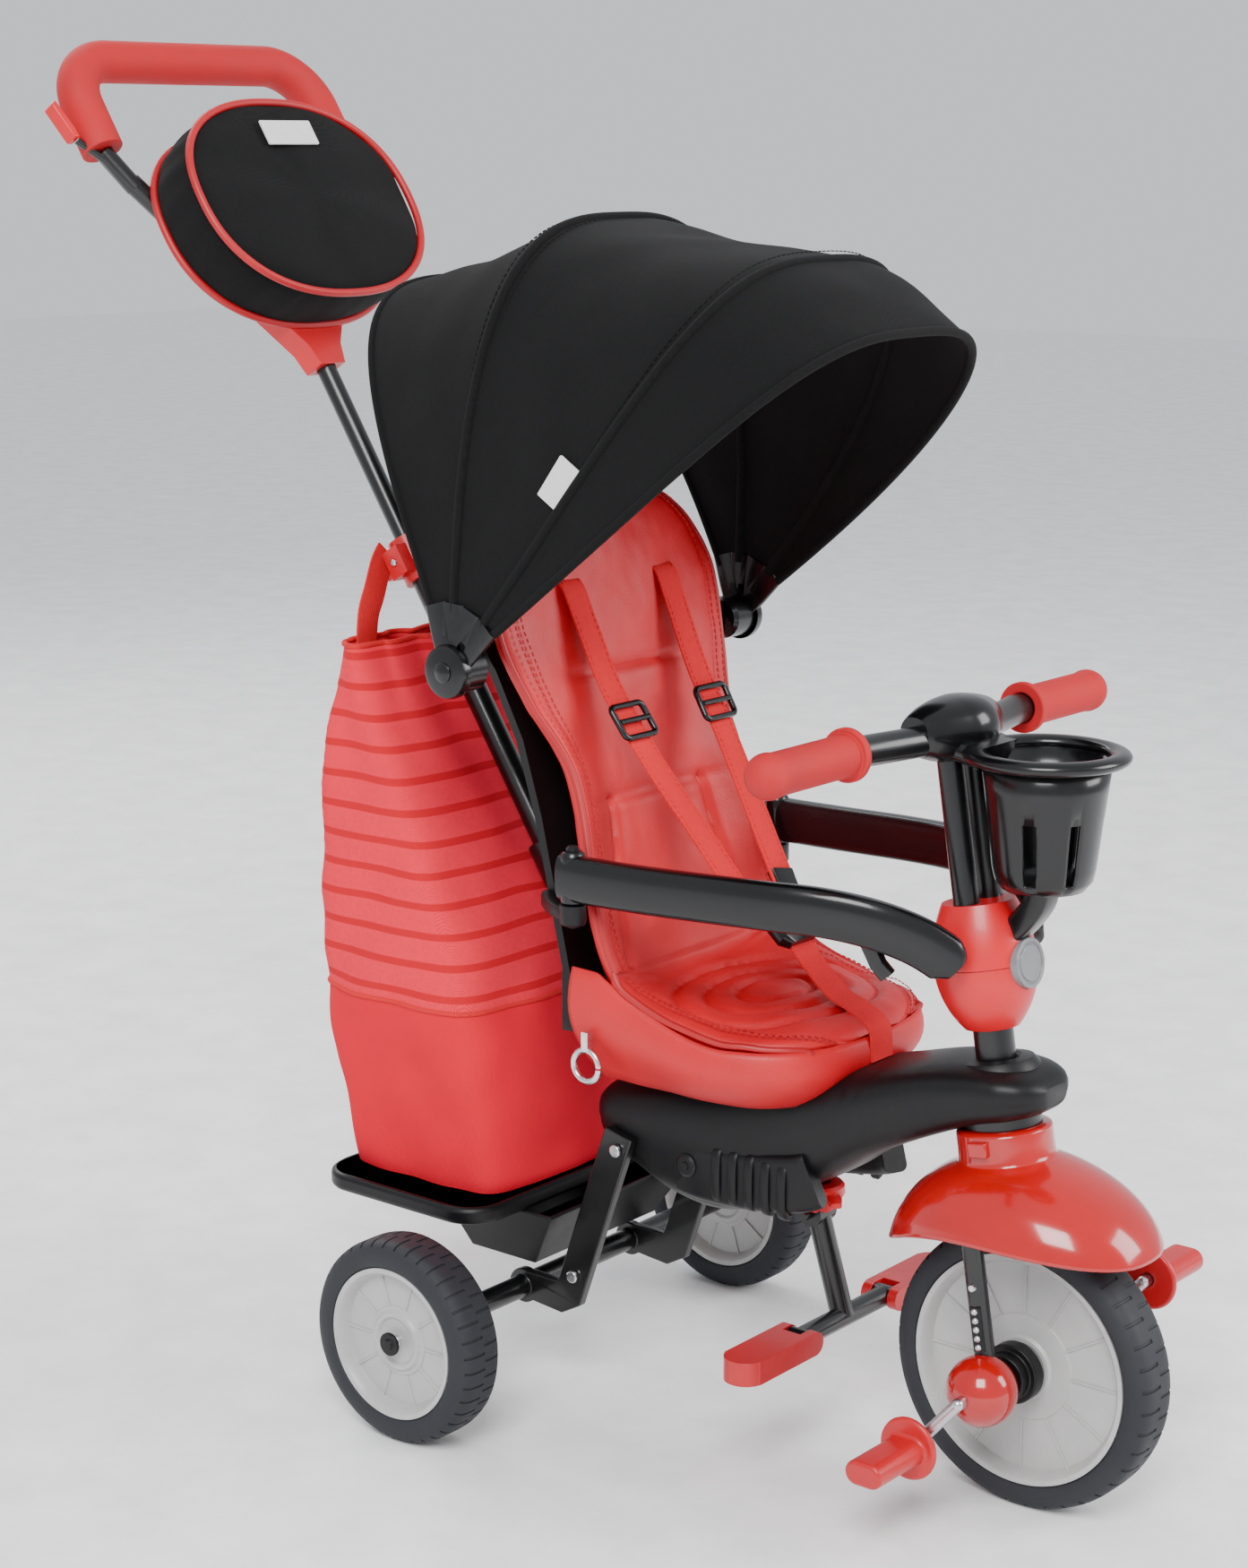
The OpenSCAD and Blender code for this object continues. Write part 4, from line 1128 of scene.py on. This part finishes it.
def build_safety_bars():
    """Two swing-open bars of a soft D section, and the pins they swing on."""
    for side, sign in SIDES:
        points = on_side(
            sign, (89, 126.5, 437), (98, 127, 437), (122, 127, 437), (170, 125.5, 438), (225, 122, 440),
            (270, 116, 441), (305, 104, 440), (336, 88, 434), (360, 70, 423), (376, 56, 410), (382, 50, 402),
        )
        path = smooth_path(points, 8)
        scales = [
            (min(1.0, 0.72 + 0.07 * i, 0.5 + 0.06 * (len(path) - i)), min(1.0, 0.6 + 0.1 * i))
            for i in range(len(path))
        ]
        bm = bmesh.new()
        sweep(bm, path, ellipse(0.0175, 0.0095, 32, 3.0), up=Z, scales=scales)
        lathe(bm, [(0, 20), (7, 20), (9, 18), (9.5, 15), (9.5, -15), (9, -18), (7, -19.5), (0, -19.5)],
              mm(100, 126 * sign, 437), Z, 48)
        lip = on_side(sign, (332, 84, 420), (340, 82, 404), (346, 79, 396))
        sweep(bm, lip, round_box(0.004, 0.006, 0.002, 2), up=Y)
        node = f"safety_bar_{side}"
        piece(f"{node}_shell", bm, FINISH["satin"], f"{side}_safety_bar", hides=[node])
    bm = bmesh.new()
    for _, sign in SIDES:
        lathe(bm, [(0, 398), (9, 402), (10, 404), (10, 417), (5, 418), (5, 459), (3, 461), (0, 461)],
              mm(100, 126 * sign, 0), Z, 40)
        arm = on_side(sign, (98, 122, 407), (76, 116, 407), (52, 98, 407), (46, 88, 407))
        sweep(bm, smooth_path(arm, 5), round_box(0.005, 0.005, 0.002, 2), up=Z)
    piece("bar_pivot_pins", bm, FINISH["black"], "frame", hides=["bar_pivots"])


def build_mudguard():
    """A glossy dome that flares from its collar to an oval rim over the front wheel."""
    rows, count = [], 96
    rim = []
    for a, b in ellipse(102, 69, count, 2.3):
        dip = -30 * max(0.0, -a / 102) ** 2.2 - 7 * max(0.0, a / 102) ** 2.2
        rim.append(mm(414 + a, b, 213 + dip))
    neck = [steer(a, b, 152) for a, b in ellipse(35, 35, count)]
    for k in range(15):
        t = math.pi / 2 * k / 14
        rows.append([
            Vector((
                n.x + (e.x - n.x) * (0.3 * k / 14 + 0.7 * math.sin(t)),
                n.y + (e.y - n.y) * (0.2 * k / 14 + 0.8 * math.sin(t)),
                e.z + (n.z - e.z) * (0.45 * (1 - k / 14) + 0.55 * math.cos(t)),
            ))
            for n, e in zip(neck, rim)
        ])
    centre = mm(414, 0, 213)
    for grow, drop in ((1.006, 0.0012), (1.004, 0.0034), (0.985, 0.0042)):
        rows.append([
            centre + Vector(((e.x - centre.x) * grow, (e.y - centre.y) * grow, e.z - centre.z - drop))
            for e in rim
        ])
    collar = [
        [steer(a * g, b * g, w) for a, b in ellipse(35, 35, count)]
        for g, w in ((0.46, 176.2), (0.94, 176.2), (1.0, 174.5), (0.985, 164), (1.0, 154))
    ]
    bm = bmesh.new()
    skin(bm, collar + rows, closed=True)
    paint = FINISH["gloss"]
    guard = piece("mudguard_shell", bm, paint, "steering", hides=["fender"], sharp=50.0)
    modify(guard, "SOLIDIFY", thickness=0.002, offset=-1.0)
    subdivided(guard)


def build_bar_cover():
    """The smooth centre cover of the handlebar."""
    bm = bmesh.new()
    half = [(46, 13, 13), (40, 16, 16), (28, 21, 20), (12, 26, 23)]
    sections = [(-y, a, b) for y, a, b in half] + [(0, 28, 24)] + half[::-1]
    path = smooth_path([mm(342 + 7 - abs(y) * 0.16, y, 560) for y, _, _ in sections], 6)
    sizes = smooth_path([Vector((b, a, 0)) for _, a, b in sections], 6)
    sweep(bm, path, ellipse(0.001, 0.001, 48, 2.4), up=Z, scales=[(p.x, p.y) for p in sizes])
    neck = [mm(346, 0, 553), mm(362, 0, 549), mm(382, 0, 545)]
    sweep(bm, neck, round_box(0.008, 0.028, 0.007, 4), up=Z)
    hides = ["handlebar_cover"]
    piece("handlebar_cover_shell", bm, FINISH["satin"], "steering", hides=hides)


def build_cup_holder():
    """A tapering cup with slots low in its wall, a thick rolled lip and a foot on the stem."""
    centre = mm(421, 0, 0)
    bm = bmesh.new()
    wall = [
        (0, 456), (20, 456), (28, 458), (32.5, 464), (34, 472), (35.4, 484), (36.8, 496), (38.2, 508),
        (40.5, 526), (43, 547),
    ]
    lathe(bm, wall, centre, Z, 96)
    cut = []
    for face in bm.faces:
        spot = face.calc_center_median() - centre
        turn = math.degrees(math.atan2(spot.y, spot.x))
        at_slot = any(abs((turn - a + 180) % 360 - 180) < 7.0 for a in (-76, -28, 28, 76, 180))
        if 0.466 < spot.z < 0.507 and at_slot:
            cut.append(face)
    bmesh.ops.delete(bm, geom=cut, context="FACES")
    cup = piece("cup_holder_wall", bm, FINISH["satin"], "steering", hides=["cup_holder"])
    modify(cup, "SOLIDIFY", thickness=0.0024, offset=1.0)
    bm = bmesh.new()
    lip = [(50.5 + 7.8 * math.cos(a), 549.5 + 5.2 * math.sin(a)) for a in (TURN * k / 20 for k in range(20))]
    lathe(bm, lip + lip[:1], centre, Z, 96)
    foot = [mm(421, 0, 457), mm(418, 0, 444), mm(406, 0, 428), mm(390, 0, 414)]
    sweep(bm, smooth_path(foot, 5), round_box(0.009, 0.011, 0.004, 3), up=X + Z * 0.3)
    piece("cup_holder_lip", bm, FINISH["satin"], "steering")


def build_lock_ring():
    """The red twist ring that locks the footrest post."""
    bm = bmesh.new()
    ring = [
        (9.6, 179), (12, 178), (13.5, 180), (14, 187), (19, 188.5), (20.5, 191), (20, 197), (18, 199),
        (9.6, 199), (9.6, 179),
    ]
    lathe(bm, ring, mm(234, 0, 0), Z, 48)
    tab = [mm(248, -4, 192), mm(256, -10, 191), mm(262, -16, 190)]
    sweep(bm, tab, round_box(0.003, 0.006, 0.002, 2), up=Z, scales=[1, 1, 0.7])
    piece("footrest_lock_ring", bm, FINISH["matte"], "frame", hides=["footrest_ring"])


def build_fork_beads():
    """A slot of plated beads low on each fork leg, with a screw above it."""
    bm, beads = bmesh.new(), bmesh.new()
    for _, sign in SIDES:
        slot_path = [steer(1, 64.0 * sign, w) for w in (28, 44, 60)]
        sweep(bm, slot_path, round_box(0.0045, 0.0014, 0.001, 3), up=Y.cross(STEER_UP))
        for k in range(5):
            ball(beads, steer(1, 65.2 * sign, 31 + 6.5 * k), 0.0026, 16)
        lathe(beads, [(0, 66.4), (2.2, 66.2), (2.8, 65.4), (2.8, 63)], steer(1, 0, 74), Y * sign, 24)
    piece("fork_bead_slots", bm, FINISH["black"], "steering")
    piece("fork_beads", beads, FINISH["zinc"], "steering")


# ---------------------------------------------------------------- stage


def build_stage():
    bm = bmesh.new()
    bmesh.ops.create_grid(bm, x_segments=1, y_segments=1, size=12)
    paint = plastic("Studio floor", (0.97, 0.97, 0.97), 0.8, grain=40.0, wear=0.0)
    floor = piece("studio_floor", bm, paint, None)
    world = bpy.data.worlds.new("Studio")
    world.use_nodes = True
    world.node_tree.nodes["Background"].inputs["Color"].default_value = (0.93, 0.95, 1.0, 1)
    world.node_tree.nodes["Background"].inputs["Strength"].default_value = 0.85
    bpy.context.scene.world = world
    for name, spot, size, energy in (
        ("key_light", (1.6, -2.6, 3.0), 1.8, 175),
        ("fill_light", (2.8, 1.6, 1.8), 1.6, 80),
        ("back_light", (-2.6, 0.8, 2.6), 2.0, 60),
    ):
        lamp = bpy.data.lights.new(name, "AREA")
        lamp.size, lamp.energy = size, energy
        obj = bpy.data.objects.new(name, lamp)
        obj.location = spot
        obj.rotation_euler = (Vector((0, 0, 0.45)) - Vector(spot)).to_track_quat("-Z", "Y").to_euler()
        bpy.context.scene.collection.objects.link(obj)
    camera = bpy.data.cameras.new("camera")
    camera.lens, camera.sensor_width = 68.345, 36
    obj = bpy.data.objects.new("camera", camera)
    obj.location = (1.4156, -1.7410, 0.9593)
    obj.rotation_euler = (Vector((0.0019, 0, 0.4786)) - obj.location).to_track_quat("-Z", "Y").to_euler()
    bpy.context.scene.collection.objects.link(obj)
    bpy.context.scene.camera = obj


# ---------------------------------------------------------------- operators


class TRICYCLE_OT_finishes(bpy.types.Operator):
    """Make every surface's material from the colour settings"""

    bl_idname = "tricycle.finishes"
    bl_label = "Finishes"

    def execute(self, context):
        make_finishes(context.scene.tricycle_colours)
        return {"FINISHED"}


class TRICYCLE_OT_body(bpy.types.Operator):
    """Finish the casing, rear frame, tray, bucket, seat shell and footrest"""

    bl_idname = "tricycle.body"
    bl_label = "Body and frame"

    def execute(self, context):
        build_hard_parts([
            "head_tube", "rear_axle", "rear_frame", "tray", "bucket", "frame_bolts",
            "seat_shell", "snap_hook", "footrest_post", "foot_peg_right",
            "foot_peg_left",
        ])
        build_casing()
        build_safety_bars()
        build_lock_ring()
        return {"FINISHED"}


class TRICYCLE_OT_steering(bpy.types.Operator):
    """Finish the fork, mudguard, steering housings, handlebar, grips and cup holder"""

    bl_idname = "tricycle.steering"
    bl_label = "Steering"

    def execute(self, context):
        build_hard_parts([
            "fork", "steering_column", "egg_lower", "egg_upper", "egg_badge", "handlebar", "hand_grips",
            "fender_clip", "hub_balls", "clutch_hubs", "crank", "pedal_right",
            "pedal_left",
        ])
        build_mudguard()
        build_bar_cover()
        build_cup_holder()
        build_fork_beads()
        return {"FINISHED"}


class TRICYCLE_OT_wheels(bpy.types.Operator):
    """Build the three wheels with foam tyres, dished discs and hub caps"""

    bl_idname = "tricycle.wheels"
    bl_label = "Wheels"

    def execute(self, context):
        build_wheels()
        build_hard_parts(["hub_cap_right", "hub_cap_left"])
        return {"FINISHED"}


class TRICYCLE_OT_seat(bpy.types.Operator):
    """Build the padded liner, its skirt, piping and harness"""

    bl_idname = "tricycle.seat"
    bl_label = "Seat"

    def execute(self, context):
        build_seat(context.scene.tricycle_sizes)
        return {"FINISHED"}


class TRICYCLE_OT_canopy(bpy.types.Operator):
    """Build the folding canopy over its bows"""

    bl_idname = "tricycle.canopy"
    bl_label = "Canopy"

    def execute(self, context):
        build_canopy(context.scene.tricycle_sizes)
        return {"FINISHED"}


class TRICYCLE_OT_parent_handle(bpy.types.Operator):
    """Build the telescopic handle and the bag that hangs on it"""

    bl_idname = "tricycle.parent_handle"
    bl_label = "Parent handle"

    def execute(self, context):
        build_hard_parts([
            "mast_receiver", "mast_lower_tube", "mast_clamp", "mast_upper_tube", "handle_yoke", "handle_arms",
            "handle_grip", "handle_trigger",
        ])
        build_parent_bag()
        return {"FINISHED"}


class TRICYCLE_OT_shopping_bag(bpy.types.Operator):
    """Build the striped shopping bag and its straps"""

    bl_idname = "tricycle.shopping_bag"
    bl_label = "Shopping bag"

    def execute(self, context):
        build_shopping_bag(context.scene.tricycle_sizes)
        return {"FINISHED"}


class TRICYCLE_OT_stage(bpy.types.Operator):
    """Set the floor, soft lights and camera"""

    bl_idname = "tricycle.stage"
    bl_label = "Stage"

    def execute(self, context):
        build_stage()
        return {"FINISHED"}


STEPS = (
    TRICYCLE_OT_finishes, TRICYCLE_OT_body, TRICYCLE_OT_steering, TRICYCLE_OT_wheels, TRICYCLE_OT_seat,
    TRICYCLE_OT_canopy, TRICYCLE_OT_parent_handle, TRICYCLE_OT_shopping_bag, TRICYCLE_OT_stage,
)


class TRICYCLE_PT_panel(bpy.types.Panel):
    """Sidebar panel with the tricycle's settings and build steps"""

    bl_idname = "TRICYCLE_PT_panel"
    bl_label = "Push tricycle"
    bl_space_type = "VIEW_3D"
    bl_region_type = "UI"
    bl_category = "Tricycle"

    def draw(self, context):
        for settings in (context.scene.tricycle_colours, context.scene.tricycle_sizes):
            for name in type(settings).__annotations__:
                self.layout.prop(settings, name)
        for step in STEPS:
            self.layout.operator(step.bl_idname)


CLASSES = (TricycleColours, TricycleSizes, *STEPS, TRICYCLE_PT_panel)


def register():
    for cls in CLASSES:
        bpy.utils.register_class(cls)
    bpy.types.Scene.tricycle_colours = bpy.props.PointerProperty(type=TricycleColours)
    bpy.types.Scene.tricycle_sizes = bpy.props.PointerProperty(type=TricycleSizes)


def unregister():
    del bpy.types.Scene.tricycle_sizes
    del bpy.types.Scene.tricycle_colours
    for cls in reversed(CLASSES):
        bpy.utils.unregister_class(cls)


def main():
    register()
    bpy.ops.tricycle.finishes()
    bpy.ops.tricycle.body()
    bpy.ops.tricycle.steering()
    bpy.ops.tricycle.wheels()
    bpy.ops.tricycle.seat()
    bpy.ops.tricycle.canopy()
    bpy.ops.tricycle.parent_handle()
    bpy.ops.tricycle.shopping_bag()
    bpy.ops.tricycle.stage()


if __name__ == "__main__":
    main()
